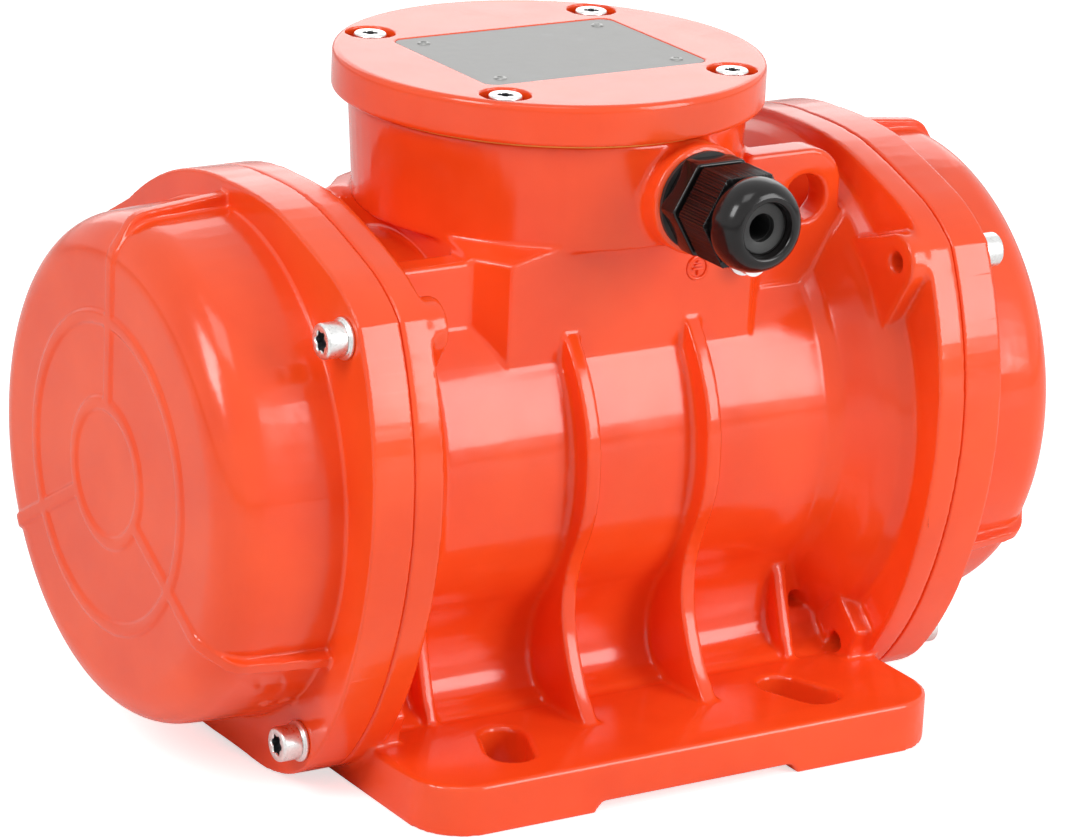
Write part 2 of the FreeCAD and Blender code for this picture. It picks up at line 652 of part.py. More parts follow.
for side, turned in (("left", True), ("right", False)):
    hand = -1 if turned else 1
    node(side + "_end_cover", make_cover(hand), True, turned)
    node(side + "_cover_screws", make_screws(hand), True, turned)
    node(side + "_cover_washers", make_washers(hand), True, turned)
    seal_ring(side + "_cover_seal", turned)
    node(side + "_bearing_bracket", make_bracket(), True, turned)
    shoulder = D["bracket_shoulder"]
    screws = ring_of_screws([circle_at(a) for a in (0, 90, 180, 270)], shoulder - 10, 17.5, 1.95,
                            shoulder + 7.5, 4, 3.5, 3.0)
    node(side + "_bracket_screws", screws, True, turned)

    # cap that keeps grease in and the bearing seated
    cap = new_body(side + "_bearing_cap", True, turned)
    s = shoulder + 12
    spun(cap, [(s, 30.95), (D["bearing_start"] + D["bearing_width"], 30.95),
               (D["bearing_start"] + D["bearing_width"], 26), (s - 3, 26), (s - 3, 13.2), (s + 3, 13.2),
               (s + 3, 42), (s, 42)])
    hole = pocketed(cap, "YZ", s - 1, 6, lambda sk: circle(sk, (36.5 * math.cos(math.radians(45)),
                                                               36.5 * math.sin(math.radians(45))), 2.3))
    around(cap, hole, "X_Axis", 4)
    screws = ring_of_screws(spots(36.5, 45), s - 8, 11, 1.95, s + 3, 3.2, 3.5, 3.0)
    node(side + "_cap_screws", screws, True, turned)

    # deep groove ball bearing
    b0, w = D["bearing_start"], D["bearing_width"]
    bore, outer = D["bearing_bore"], D["bearing_outer"]
    mid = b0 + w * 0.5
    outer_race = new_body(side + "_bearing_outer", True, turned)
    spun(outer_race, [(b0, outer), (b0 + w, outer), (b0 + w, 26.6), (b0, 26.6)])
    groove = spun(outer_race, [(mid - 3.6, 25.0), (mid - 3.6, 26.8), (mid - 2.4, 27.5), (mid, 27.9),
                               (mid + 2.4, 27.5), (mid + 3.6, 26.8), (mid + 3.6, 25.0)], cut=True)
    inner_race = new_body(side + "_bearing_inner", True, turned)
    spun(inner_race, [(b0, bore), (b0, 19.4), (mid - 3.6, 19.4), (mid - 2.4, 18.5), (mid, 18.1), (mid + 2.4, 18.5),
                      (mid + 3.6, 19.4), (b0 + w, 19.4), (b0 + w, bore)])
    balls = []
    for i in range(8):
        a = math.radians(45 * i)
        ball = doc.addObject("Part::Sphere", fresh("ball"))
        ball.Radius = 4.75
        ball.Placement.Base = V(num(mid), 23 * math.cos(a), 23 * math.sin(a))
        ball.setExpression("Placement.Base.x", mid.text)
        balls.append(ball)
    band = lathe([(mid - 1.2, 21.4), (mid - 1.2, 24.6), (mid + 1.2, 24.6), (mid + 1.2, 21.4)])
    node(side + "_bearing_balls", join(balls + [band]), True, turned)


# ---------------------------------------------------------------- shaft, rotor and stator
def make_shaft():
    body = new_body("shaft")
    r, b, w = D["shaft_radius"], D["bearing_bore"], D["weight_seat"]
    b0, e, g = D["bearing_start"], D["shaft_end"], 0.02
    half = [(b0, r), (b0, b - g), (b0 + D["bearing_width"] + 3, b - g), (b0 + D["bearing_width"] + 3, w),
            (e - 1.0, w), (e, w - 1.0), (e, 0)]
    spun(body, [(0 - x, y) for x, y in reversed(half)] + half)
    for s in (-1, 1):
        start = D["fixed_weight_start"] if s > 0 else 0 - D["fixed_weight_start"] - D["weight_thickness"]
        pocketed(body, "YZ", start, D["weight_thickness"],
                 lambda sk: loop(sk, [(-3, w - 3.5), (3, w - 3.5), (3, w + 2), (-3, w + 2)]))


make_shaft()

core = new_body("rotor_core")
L = D["core_half_length"]
spun(core, [(0 - L, D["shaft_radius"]), (0 - L, D["rotor_radius"]), (L, D["rotor_radius"]), (L, D["shaft_radius"])])
bar = pocketed(core, "YZ", 0 - L, L * 2, lambda sk: circle(sk, (0, 26.4), 1.8))
around(core, bar, "X_Axis", 18)

rings = []
for start in (0 - L - 9, L):
    outer_ring = rod("X", start, 9, (0, 0), 29.0)
    rings.append(minus(outer_ring, [rod("X", start - 1, 11, (0, 0), 20.0)]))
for i in range(18):
    a = math.radians(90 + 20 * i)
    rings.append(rod("X", 0 - L - 1, L * 2 + 2, (26.4 * math.cos(a), 26.4 * math.sin(a)), 1.8))
node("rotor_cage", join(rings), True)

stator = new_body("stator_core")
spun(stator, [(0 - L, D["stator_tooth"]), (0 - L, D["stator_bore"]), (L, D["stator_bore"]), (L, D["stator_tooth"])])
slot = pocketed(stator, "YZ", 0 - L, L * 2,
                lambda sk: loop(sk, [(-1.1, 29), (1.1, 29), (1.1, 31.2), (2.5, 33), (3.2, 42), (-3.2, 42),
                                     (-2.5, 33), (-1.1, 31.2)]))
around(stator, slot, "X_Axis", 24)

coils = []
for i in range(24):
    a = math.radians(15 * i)
    leg = prism("YZ", 0 - L - 1, L * 2 + 2,
                lambda sk: loop(sk, [(-2.2, 33.4), (2.2, 33.4), (2.8, 41.6), (-2.8, 41.6)]))
    leg.Placement = FreeCAD.Placement(V(0, 0, 0), FreeCAD.Rotation(V(1, 0, 0), 15 * i))
    coils.append(leg)
for s in (-1, 1):
    head = [(s * (L + 1), 32.5, 2), (s * (L + 18), 33.5, 5), (s * (L + 18), 46.5, 5), (s * (L + 1), 45.5, 2)]
    coils.append(lathe(head, rounds=True))
node("stator_winding", join(coils), True)


# ---------------------------------------------------------------- eccentric weights
def weight_draw(hub, reach, half_angle):
    """Sector that hangs below a hub, with two clamp ears above it."""
    a = math.radians(half_angle)

    def p(r, t):
        return V(r * math.sin(t), -r * math.cos(t), 0)
    b = math.radians(112)

    def draw(sk):
        pieces = [Part.Arc(p(reach, -a), p(reach, 0), p(reach, a)), Part.LineSegment(p(reach, a), p(hub + 3, a)),
                  Part.LineSegment(p(hub + 3, a), p(hub, b)), Part.LineSegment(p(hub, b), V(14, 12.5, 0)),
                  Part.LineSegment(V(14, 12.5, 0), V(14, hub + 5, 0)),
                  Part.LineSegment(V(14, hub + 5, 0), V(-14, hub + 5, 0)),
                  Part.LineSegment(V(-14, hub + 5, 0), V(-14, 12.5, 0)),
                  Part.LineSegment(V(-14, 12.5, 0), p(hub, -b)),
                  Part.LineSegment(p(hub, -b), p(hub + 3, -a)), Part.LineSegment(p(hub + 3, -a), p(reach, -a))]
        chain(sk, pieces)
    return draw


def make_weight(label, start, keyed, turned):
    body = new_body(label, True, turned)
    t, hub = D["weight_thickness"], D["weight_hub"]
    padded(body, "YZ", start, t, weight_draw(SIZES["weight_hub"], SIZES["weight_radius"], 78))
    pocketed(body, "YZ", start, t, lambda sk: circle(sk, (0, 0), D["weight_seat"] + (0.02 if keyed else 0.03)))
    pocketed(body, "YZ", start, t, lambda sk: loop(sk, [(-1, 10), (1, 10), (1, 30), (-1, 30)]))
    pocketed(body, "XZ", -20, 40, lambda sk: circle(sk, (start + t * 0.5, hub - 1.0), 3.3))
    if keyed:
        pocketed(body, "YZ", start, t, lambda sk: loop(sk, [(-3, 9), (3, 9), (3, 15.2), (-3, 15.2)]))
    return body


def make_clamp(start):
    """Clamp bolt across the ears with its nut."""
    x = start + D["weight_thickness"] * 0.5
    z = D["weight_hub"] - 1.0
    shank = rod("Y", -20.5, 35.5, (x, z), 3.0)
    head = rod("Y", 14, 6, (x, z), 5.0)
    nut = hexagon("Y", -19, 5, (x, z), 10.0, 0)
    return minus(join([shank, head, nut]), [hexagon("Y", 17.5, 4, (x, z), 5.0)])


for side, turned in (("left", True), ("right", False)):
    first = D["fixed_weight_start"]
    second = first + D["weight_thickness"] + D["weight_gap"]
    make_weight(side + "_fixed_weight", first, True, turned)
    make_weight(side + "_adjustable_weight", second, False, turned)
    node(side + "_fixed_clamp", make_clamp(first), True, turned)
    node(side + "_adjustable_clamp", make_clamp(second), True, turned)
    low = D["weight_seat"] - 3.5
    key = prism("YZ", first, D["weight_thickness"], lambda sk: loop(sk, [(-2.97, low), (2.97, low), (2.97, 15.1),
                                                                         (-2.97, 15.1)]))
    node(side + "_weight_key", key, True, turned)


# ---------------------------------------------------------------- terminal tower contents
def lid_spots():
    k = math.cos(math.radians(45))
    c = D["lid_screw_circle"]
    return [(c * (k * a), c * (k * b)) for a in (-1, 1) for b in (-1, 1)]


top = D["tower_top"]
lid_low = top + D["gasket_thickness"]
lid_high = lid_low + D["lid_thickness"]
ring = rod("Z", top, D["gasket_thickness"], (0, 0), D["tower_radius"] + 0.6)
node("lid_gasket", minus(ring, [rod("Z", top - 1, 4, (0, 0), 49.0)] + [rod("Z", top - 1, 4, s, 2.8) for s in lid_spots()]))

pl, pw = D["plate_length"], D["plate_width"]


def plate_outline(grow, corner):
    x, y = num(pl) / 2 + grow, num(pw) / 2 + grow
    return rounded([(-x, -y, corner), (x, -y, corner), (x, y, corner), (-x, y, corner)])


lid_body = new_body("terminal_box_lid", False)
spun(lid_body, [(0, lid_low), (D["lid_radius"] - 0.6, lid_low), (D["lid_radius"], lid_low + 0.6),
                (D["lid_radius"], lid_high - 1.4), (D["lid_radius"] - 0.4, lid_high - 0.4),
                (D["lid_radius"] - 1.4, lid_high), (0, lid_high)], axis="V_Axis")
pocketed(lid_body, "XY", lid_low, 6.5, lambda sk: circle(sk, (0, 0), 45.5))
pocketed(lid_body, "XY", lid_high - 1.0, 2, lambda sk: chain(sk, plate_outline(0.25, 4.0)))
RIVETS = [(a * 29.5, b * 21.3) for a in (-1, 1) for b in (-1, 1)]
for a, b in lid_spots():
    pocketed(lid_body, "XY", lid_high - 5.4, 7, lambda sk, a=a, b=b: circle(sk, (a, b), D["lid_recess_radius"]))
    pocketed(lid_body, "XY", lid_low - 1, 12, lambda sk, a=a, b=b: circle(sk, (a, b), 2.8))
for a, b in RIVETS:
    pocketed(lid_body, "XY", lid_high - 3.6, 4, lambda sk, a=a, b=b: circle(sk, (a, b), 1.2))

shanks = [rod("Z", lid_high - 5.4 - 18, 18.0, s, 2.45) for s in lid_spots()]
heads = [rod("Z", lid_high - 5.4, 6.0, s, 5.0) for s in lid_spots()]
node("lid_screws", minus(join(shanks + heads), [hexagon("Z", lid_high - 2.6, 4, s, 5.0) for s in lid_spots()]))

plate_body = new_body("nameplate", False)
padded(plate_body, "XY", lid_high - 1.0, D["plate_thickness"], lambda sk: chain(sk, plate_outline(0, 3.8)))
for a, b in RIVETS:
    pocketed(plate_body, "XY", lid_high - 2, 3, lambda sk, a=a, b=b: circle(sk, (a, b), 1.25))
shanks = [rod("Z", lid_high - 3.6, 3.4, s, 1.15) for s in RIVETS]
heads = [rod("Z", lid_high - 1.0 + D["plate_thickness"], 0.9, s, 2.1) for s in RIVETS]
node("nameplate_rivets", join(shanks + heads))

# terminal block with six studs, links and nuts
floor = D["tower_floor"]
STUDS = [(x, y) for x in (-14, 0, 14) for y in (-9, 9)]
slab = block((-23, 23), (-16, 16), (floor, floor + 9))
fences = [block((x - 0.8, x + 0.8), (-16, 16), (floor + 8, floor + 16)) for x in (-7, 7)]
holes = [rod("Z", floor - 1, 30, s, 2.55) for s in STUDS] + [rod("Z", floor - 1, 30, (x, 0), 2.2) for x in (-20.6, 20.6)]
node("terminal_block", minus(join([slab] + fences), holes))
node("terminal_studs", join([rod("Z", floor + 1, 20, s, 2.5) for s in STUDS]))
nuts = [hexagon("Z", floor + 11.0, 3.6, s, 8.0, 30) for s in STUDS]
node("terminal_nuts", minus(join(nuts), [rod("Z", floor + 10, 6, s, 2.52) for s in STUDS]))
links = [block((x - 3.8, x + 3.8), (-13, 13), (floor + 9, floor + 10.0)) for x in (-14, 0, 14)]
node("terminal_links", minus(join(links), [rod("Z", floor + 8, 4, s, 2.6) for s in STUDS]))
tags = []
for x, y in STUDS[1::2]:
    tags.append(rod("Z", floor + 10.0, 1.0, (x, y), 4.6))
    tags.append(block((x - 2.2, x + 2.2), (y, y + 11), (floor + 10.0, floor + 11.0)))
node("lead_tags", minus(join(tags), [rod("Z", floor + 9, 4, s, 2.6) for s in STUDS[1::2]]))
screws = [rod("Z", floor - 5, 14, (x, 0), 2.0) for x in (-20.6, 20.6)]
heads = [rod("Z", floor + 9, 3, (x, 0), 2.6) for x in (-20.6, 20.6)]
node("terminal_block_screws", join(screws + heads))
node("inner_earth_screw", minus(join([rod("Z", floor - 5, 6.6, (24, 24), 1.95), rod("Z", floor + 1.2, 3.4, (24, 24), 4.0)]),
                                [block((23.4, 24.6), (19, 29), (floor + 3.4, floor + 6))]))
node("inner_earth_washer", minus(rod("Z", floor, 1.2, (24, 24), 5.0), [rod("Z", floor - 1, 4, (24, 24), 2.15)]))

# grommet and leads from the winding
grommet = new_body("lead_grommet", False)
spun(grommet, [(0, floor + 3), (10, floor + 3), (10, floor), (7.95, floor), (7.95, floor - 5), (0, floor - 5)],
     axis="V_Axis")
grommet.Placement.Base = V(-39.5, 0, 0)
for a, b in ((-3, 0), (2, -2.6), (2, 2.6)):
    pocketed(grommet, "XY", floor - 8, 14, lambda sk, a=a, b=b: circle(sk, (a, b), 1.6))


def path_edges(route, share=0.2):
    """Straight runs joined by tangent arcs as wide as the shorter run beside each corner allows."""
    pts = [V(*p) for p in route]
    edges, last = [], pts[0]
    for before, corner, after in zip(pts, pts[1:], pts[2:]):
        a, b = (before - corner), (after - corner)
        reach = share * min(a.Length, b.Length)
        a.normalize()
        b.normalize()
        half = a.getAngle(b) / 2
        start, end = corner + a * reach, corner + b * reach
        mid = (a + b).normalize()
        middle = corner + mid * (reach / math.cos(half) - reach * math.tan(half))
        edges.append(Part.LineSegment(last, start).toShape())
        edges.append(Part.Arc(start, middle, end).toShape())
        last = end
    edges.append(Part.LineSegment(last, pts[-1]).toShape())
    return edges


def lead(route, radius):
    """Round lead swept along its route."""
    spine = doc.addObject("Part::Feature", fresh("route"))
    spine.Shape = Part.Wire(path_edges(route))
    section = doc.addObject("Part::Circle", fresh("section"))
    section.Radius = radius
    run = V(*route[1]) - V(*route[0])
    section.Placement = FreeCAD.Placement(V(*route[0]), FreeCAD.Rotation(V(0, 0, 1), run))
    sweep = doc.addObject("Part::Sweep", fresh("lead"))
    sweep.Sections = [section]
    sweep.Spine = (spine, ["Edge%d" % (i + 1) for i in range(len(spine.Shape.Edges))])
    sweep.Solid = True
    sweep.Frenet = False
    return sweep


fl = num(floor)
low = SIZES["axis_height"] + 46.0
ROUTES = [
    [(-42.5, 0, low + 0.05), (-42.5, 0, fl + 9.5), (-32, 24, fl + 9), (-14, 26, fl + 10.5), (-14, 20.02, fl + 10.5)],
    [(-37.5, -2.6, low - 0.3), (-37.5, -2.6, fl + 9.5), (-27, 30, fl + 3.5), (0, 28, fl + 8), (0, 26, fl + 10.5),
     (0, 20.02, fl + 10.5)],
    [(-37.5, 2.6, low - 0.3), (-37.5, 2.6, fl + 13.5), (-27, 32, fl + 13), (14, 31, fl + 12), (14, 26, fl + 10.5),
     (14, 20.02, fl + 10.5)],
]
leads = doc.addObject("Part::Compound", "leads")
leads.Links = [lead(r, 1.5) for r in ROUTES]
node("winding_leads", leads)


# ---------------------------------------------------------------- cable gland
def gland_solid(points, rounds=False):
    """Turned about the gland's own line; x is measured outward from its seat."""
    t = lathe(points, "X", rounds)
    t.Placement = FreeCAD.Placement(V(0, 0, 0), FreeCAD.Rotation(V(0, 0, 1), -90))
    bind(t, "Placement.Base.x", D["gland_across"])
    bind(t, "Placement.Base.y", 0 - D["gland_boss_face"])
    bind(t, "Placement.Base.z", D["gland_height"])
    return t


gx, gz, gf = D["gland_across"], D["gland_height"], D["gland_boss_face"]
washer = gland_solid([(0, 10.1), (0, 14.4), (1.2, 14.4), (1.2, 10.1)])
node("gland_washer", washer)
hexbody = hexagon("Y", 0 - gf - 8.2, 7.0, (gx, gz), 26.5, 0)
stem = gland_solid([(-12, 0), (-12, 9.96), (1.2, 9.96), (1.2, 9.0), (8.2, 9.0), (8.2, 9.6), (18.5, 9.6), (18.5, 0)])
bore = gland_solid([(-13, 0), (-13, 6.6), (9.0, 6.6), (9.0, 7.8), (19, 7.8), (19, 0)])
node("gland_body", minus(join([hexbody, stem]), [bore]))
node("gland_seal", gland_solid([(9.0, 3.9), (9.0, 7.7), (27.6, 7.7), (27.6, 3.9)]))
node("gland_slip_ring", gland_solid([(27.6, 5.2), (27.6, 7.7), (28.6, 7.7), (28.6, 5.2)]))
nut_hex = hexagon("Y", 0 - gf - 22.2, 12.6, (gx, gz), 25.8, 0)
trim = gland_solid([(9.6, 0), (9.6, 14.5), (22.2, 14.5), (22.2, 0)])
common = doc.addObject("Part::Common", "nut_corners")
common.Base = nut_hex
common.Tool = trim
dome = gland_solid([(22.2, 0), (22.2, 13.5), (24.8, 13.5), (27.0, 13.3), (29.0, 12.7), (30.8, 11.7), (32.0, 10.6),
                    (32.8, 9.4), (33.0, 8.2), (33.0, 0)])
inside = gland_solid([(9.0, 0), (9.0, 9.65), (18.9, 9.65), (18.9, 7.8), (28.6, 7.8), (28.6, 5.6), (29.4, 5.6),
                      (33.0, 8.2), (34, 8.2), (34, 0)])
node("gland_nut", minus(join([common, dome]), [inside]))

# outside earth screw beside the gland
front = 0 - D["pedestal_half_width"]
screw = join([rod("Y", front - 2.2, 9.2, EARTH, 2.45), rod("Y", front - 6.2, 4, EARTH, 4.25)])
node("outer_earth_screw", minus(screw, [hexagon("Y", front - 7, 3, EARTH, 4.0)]))
node("outer_earth_washer", minus(rod("Y", front - 1.2, 1.2, EARTH, 5.3), [rod("Y", front - 3, 4, EARTH, 2.65)]))


# ---------------------------------------------------------------- build, check and write
doc.recompute()
os.makedirs("parts", exist_ok=True)
bad = [o.Name for o in doc.Objects if "Invalid" in o.State or "Error" in o.State]
if bad:
    raise RuntimeError("objects in error: %s" % bad)
for label, solid in NODES.items():
    shape = solid.Shape
    if shape.isNull() or not shape.isValid():
        raise RuntimeError("bad shape: " + label)
for label, solid in NODES.items():
    solid.Shape.exportStep("parts/%s.step" % label)
    box = solid.Shape.BoundBox
    print("%-24s solids %2d vol %9.0f  x %7.1f %7.1f  y %7.1f %7.1f  z %7.1f %7.1f" % (
        label, len(solid.Shape.Solids), solid.Shape.Volume, box.XMin, box.XMax, box.YMin, box.YMax, box.ZMin, box.ZMax))
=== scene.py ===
"""Dressed model of a foot-mounted vibration motor.

Enamelled castings, zinc screws, a black nylon cable gland and a bare nameplate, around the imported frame.
"""

from __future__ import annotations

import json
import logging
import math
from dataclasses import dataclass, field
from enum import Enum

import bmesh
import bpy
from mathutils import Matrix, Vector

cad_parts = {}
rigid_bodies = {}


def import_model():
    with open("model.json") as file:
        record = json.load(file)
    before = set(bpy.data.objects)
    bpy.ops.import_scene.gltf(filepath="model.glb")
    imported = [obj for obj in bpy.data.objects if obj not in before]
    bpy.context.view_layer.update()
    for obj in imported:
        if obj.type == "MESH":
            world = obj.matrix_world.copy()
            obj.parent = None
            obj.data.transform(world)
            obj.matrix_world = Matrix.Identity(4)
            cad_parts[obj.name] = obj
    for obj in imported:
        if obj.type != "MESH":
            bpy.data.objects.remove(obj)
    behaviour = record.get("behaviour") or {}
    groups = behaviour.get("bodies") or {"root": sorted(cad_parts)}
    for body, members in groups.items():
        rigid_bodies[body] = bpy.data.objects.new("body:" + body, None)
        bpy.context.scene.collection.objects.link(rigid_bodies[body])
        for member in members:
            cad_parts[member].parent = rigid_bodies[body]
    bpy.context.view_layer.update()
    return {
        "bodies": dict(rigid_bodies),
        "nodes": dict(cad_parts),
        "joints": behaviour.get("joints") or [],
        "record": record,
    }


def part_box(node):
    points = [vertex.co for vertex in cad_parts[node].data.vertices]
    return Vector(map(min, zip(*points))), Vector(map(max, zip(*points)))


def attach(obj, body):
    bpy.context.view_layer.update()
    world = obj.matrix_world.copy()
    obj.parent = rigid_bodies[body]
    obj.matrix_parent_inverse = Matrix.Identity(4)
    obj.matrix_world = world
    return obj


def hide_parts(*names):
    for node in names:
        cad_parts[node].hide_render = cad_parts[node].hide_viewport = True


LOG = logging.getLogger("vibration_motor")
MM = 0.001

Pair = tuple[float, float]
Triple = tuple[float, float, float]
Profile = tuple[Pair, ...]

# Octaves of the noise in the finishes.
BROAD = 2.0
SOFT = 3.0
FINE = 4.0

# Noise values between which a finish passes from its low end to its high end.
RANGE_STOPS = (0.3, 0.7)
COLOUR_STOPS = (0.35, 0.65)


class Side(Enum):
    """End of the motor that a piece belongs to."""

    LEFT = "left"
    RIGHT = "right"

    @property
    def sign(self) -> int:
        """Direction of this end along the shaft."""
        return -1 if self is Side.LEFT else 1


class Grain(Enum):
    """Way in which a metal's fine marks run."""

    EVEN = (1.0, 1.0, 1.0)
    ROUND_X = (1.0, 0.25, 0.25)


# ---------------------------------------------------------------- finishes
@dataclass(frozen=True)
class Finish:
    """Shared tools of every finish: a node tree with one Principled shader."""

    name: str

    def tree(self) -> tuple[bpy.types.Material, bpy.types.NodeTree, bpy.types.Node]:
        """Start a material.

        Returns:
            The material, its node tree and its Principled node.
        """
        material = bpy.data.materials.new(self.name)
        material.use_nodes = True
        nodes = material.node_tree.nodes
        return material, material.node_tree, nodes["Principled BSDF"]

    @staticmethod
    def noise(tree: bpy.types.NodeTree, scale: float, detail: float,
              stretch: Triple = (1.0, 1.0, 1.0)) -> bpy.types.NodeSocket:
        """Add noise on the piece's own coordinates.

        Args:
            tree: Node tree that gets the nodes.
            scale: Features per metre.
            detail: Octaves of finer noise.
            stretch: Scale of the pattern along each axis.

        Returns:
            The noise value socket.
        """
        place = tree.nodes.new("ShaderNodeTexCoord")
        turn = tree.nodes.new("ShaderNodeMapping")
        turn.inputs["Scale"].default_value = stretch
        texture = tree.nodes.new("ShaderNodeTexNoise")
        texture.inputs["Scale"].default_value = scale
        texture.inputs["Detail"].default_value = detail
        tree.links.new(place.outputs["Object"], turn.inputs["Vector"])
        tree.links.new(turn.outputs["Vector"], texture.inputs["Vector"])
        return texture.outputs["Fac"]

    @staticmethod
    def spread(tree: bpy.types.NodeTree, value: bpy.types.NodeSocket, low: float,
               high: float) -> bpy.types.NodeSocket:
        """Map a noise value to a range.

        Args:
            tree: Node tree that gets the node.
            value: Noise value socket.
            low: Result at the noise's dark end.
            high: Result at the noise's bright end.

        Returns:
            The mapped value socket.
        """
        ramp = tree.nodes.new("ShaderNodeMapRange")
        ramp.inputs["From Min"].default_value = RANGE_STOPS[0]
        ramp.inputs["From Max"].default_value = RANGE_STOPS[1]
        ramp.inputs["To Min"].default_value = low
        ramp.inputs["To Max"].default_value = high
        tree.links.new(value, ramp.inputs["Value"])
        return ramp.outputs["Result"]

    @staticmethod
    def blend(tree: bpy.types.NodeTree, value: bpy.types.NodeSocket, dark: Triple,
              bright: Triple) -> bpy.types.NodeSocket:
        """Mix two colours by a value.

        Args:
            tree: Node tree that gets the node.
            value: Mixing value socket.
            dark: Colour at the low end.
            bright: Colour at the high end.

        Returns:
            The colour socket.
        """
        ramp = tree.nodes.new("ShaderNodeValToRGB")
        for stop, position, colour in zip(ramp.color_ramp.elements, COLOUR_STOPS, (dark, bright)):
            stop.position = position
            stop.color = (*colour, 1.0)
        tree.links.new(value, ramp.inputs["Fac"])
        return ramp.outputs["Color"]

    @staticmethod
    def relief(tree: bpy.types.NodeTree, shader: bpy.types.Node, value: bpy.types.NodeSocket, height: float,
               strength: float = 1.0) -> None:
        """Raise the surface's fine relief by a value.

        Args:
            tree: Node tree that gets the node.
            shader: Shader whose normal is bumped, after any bump that it already has.
            value: Height value socket.
            height: Height of the relief in metres.
            strength: Share of the relief that shows.
        """
        bump = tree.nodes.new("ShaderNodeBump")
        bump.inputs["Strength"].default_value = strength
        bump.inputs["Distance"].default_value = height
        tree.links.new(value, bump.inputs["Height"])
        if shader.inputs["Normal"].is_linked:
            tree.links.new(shader.inputs["Normal"].links[0].from_socket, bump.inputs["Normal"])
        tree.links.new(bump.outputs["Normal"], shader.inputs["Normal"])


@dataclass(frozen=True)
class Enamel(Finish):
    """Thick sprayed gloss paint with orange peel and slow runs."""

    dark: Triple = (0.85, 0.066, 0.009)
    bright: Triple = (0.92, 0.084, 0.013)
    rough: Pair = (0.13, 0.21)
    specular: float = 0.5
    tone_scale: float = 28.0
    gloss_scale: float = 90.0
    peel_scale: float = 320.0
    peel_height: float = 0.00008
    peel_share: float = 0.25
    run_scale: float = 70.0
    run_height: float = 0.0004
    run_share: float = 0.22

    def material(self) -> bpy.types.Material:
        """Make the paint."""
        material, tree, shader = self.tree()
        tone = self.noise(tree, self.tone_scale, SOFT)
        gloss = self.noise(tree, self.gloss_scale, FINE)
        tree.links.new(self.blend(tree, tone, self.dark, self.bright), shader.inputs["Base Color"])
        tree.links.new(self.spread(tree, gloss, *self.rough), shader.inputs["Roughness"])
        shader.inputs["Specular IOR Level"].default_value = self.specular
        for scale, height, share in ((self.peel_scale, self.peel_height, self.peel_share),
                                     (self.run_scale, self.run_height, self.run_share)):
            self.relief(tree, shader, self.noise(tree, scale, BROAD), height, share)
        return material


@dataclass(frozen=True)
class Metal(Finish):
    """Bare or plated metal with fine marks."""

    dark: Triple = (0.55, 0.55, 0.55)
    bright: Triple = (0.72, 0.72, 0.72)
    rough: Pair = (0.22, 0.36)
    scale: float = 900.0
    depth: float = 0.00003
    grain: Grain = Grain.EVEN
    share: float = 0.5

    def material(self) -> bpy.types.Material:
        """Make the metal."""
        material, tree, shader = self.tree()
        marks = self.noise(tree, self.scale, FINE, self.grain.value)
        tree.links.new(self.blend(tree, marks, self.dark, self.bright), shader.inputs["Base Color"])
        tree.links.new(self.spread(tree, marks, *self.rough), shader.inputs["Roughness"])
        shader.inputs["Metallic"].default_value = 1.0
        self.relief(tree, shader, marks, self.depth, self.share)
        return material


@dataclass(frozen=True)
class Moulded(Finish):
    """Moulded plastic, rubber or resin."""

    dark: Triple = (0.012, 0.012, 0.013)
    bright: Triple = (0.022, 0.022, 0.023)
    rough: Pair = (0.26, 0.36)
    scale: float = 1400.0
    depth: float = 0.00004
    shine: float = 0.5
    cloud_scale: float = 120.0
    share: float = 0.4

    def material(self) -> bpy.types.Material:
        """Make the plastic."""
        material, tree, shader = self.tree()
        cloud = self.noise(tree, self.cloud_scale, FINE)
        tree.links.new(self.blend(tree, cloud, self.dark, self.bright), shader.inputs["Base Color"])
        tree.links.new(self.spread(tree, cloud, *self.rough), shader.inputs["Roughness"])
        shader.inputs["Specular IOR Level"].default_value = self.shine
        self.relief(tree, shader, self.noise(tree, self.scale, BROAD), self.depth, self.share)
        return material


@dataclass(frozen=True)
class Layered(Finish):
    """Stacked sheets or wound wire, as fine bands along the shaft or across it."""

    dark: Triple = (0.20, 0.20, 0.21)
    bright: Triple = (0.36, 0.36, 0.38)
    pitch: float = 0.5
    across: Triple = (1.0, 0.0, 0.0)
    metallic: float = 1.0
    rough: float = 0.4
    rough_swing: float = 0.08
    rough_scale: float = 300.0
    wobble: float = 0.6
    bands_per_pitch: float = 6.5
    depth: float = 0.0001
    share: float = 0.5

    def material(self) -> bpy.types.Material:
        """Make the bands."""
        material, tree, shader = self.tree()
        place = tree.nodes.new("ShaderNodeTexCoord")
        turn = tree.nodes.new("ShaderNodeMapping")
        turn.inputs["Scale"].default_value = self.across
        wave = tree.nodes.new("ShaderNodeTexWave")
        wave.inputs["Scale"].default_value = 1.0 / (self.pitch * MM * self.bands_per_pitch)
        wave.inputs["Distortion"].default_value = self.wobble
        tree.links.new(place.outputs["Object"], turn.inputs["Vector"])
        tree.links.new(turn.outputs["Vector"], wave.inputs["Vector"])
        bands = wave.outputs["Fac"]
        tree.links.new(self.blend(tree, bands, self.dark, self.bright), shader.inputs["Base Color"])
        cloud = self.noise(tree, self.rough_scale, SOFT)
        gloss = self.spread(tree, cloud, self.rough - self.rough_swing, self.rough + self.rough_swing)
        tree.links.new(gloss, shader.inputs["Roughness"])
        shader.inputs["Metallic"].default_value = self.metallic
        self.relief(tree, shader, bands, self.depth, self.share)
        return material


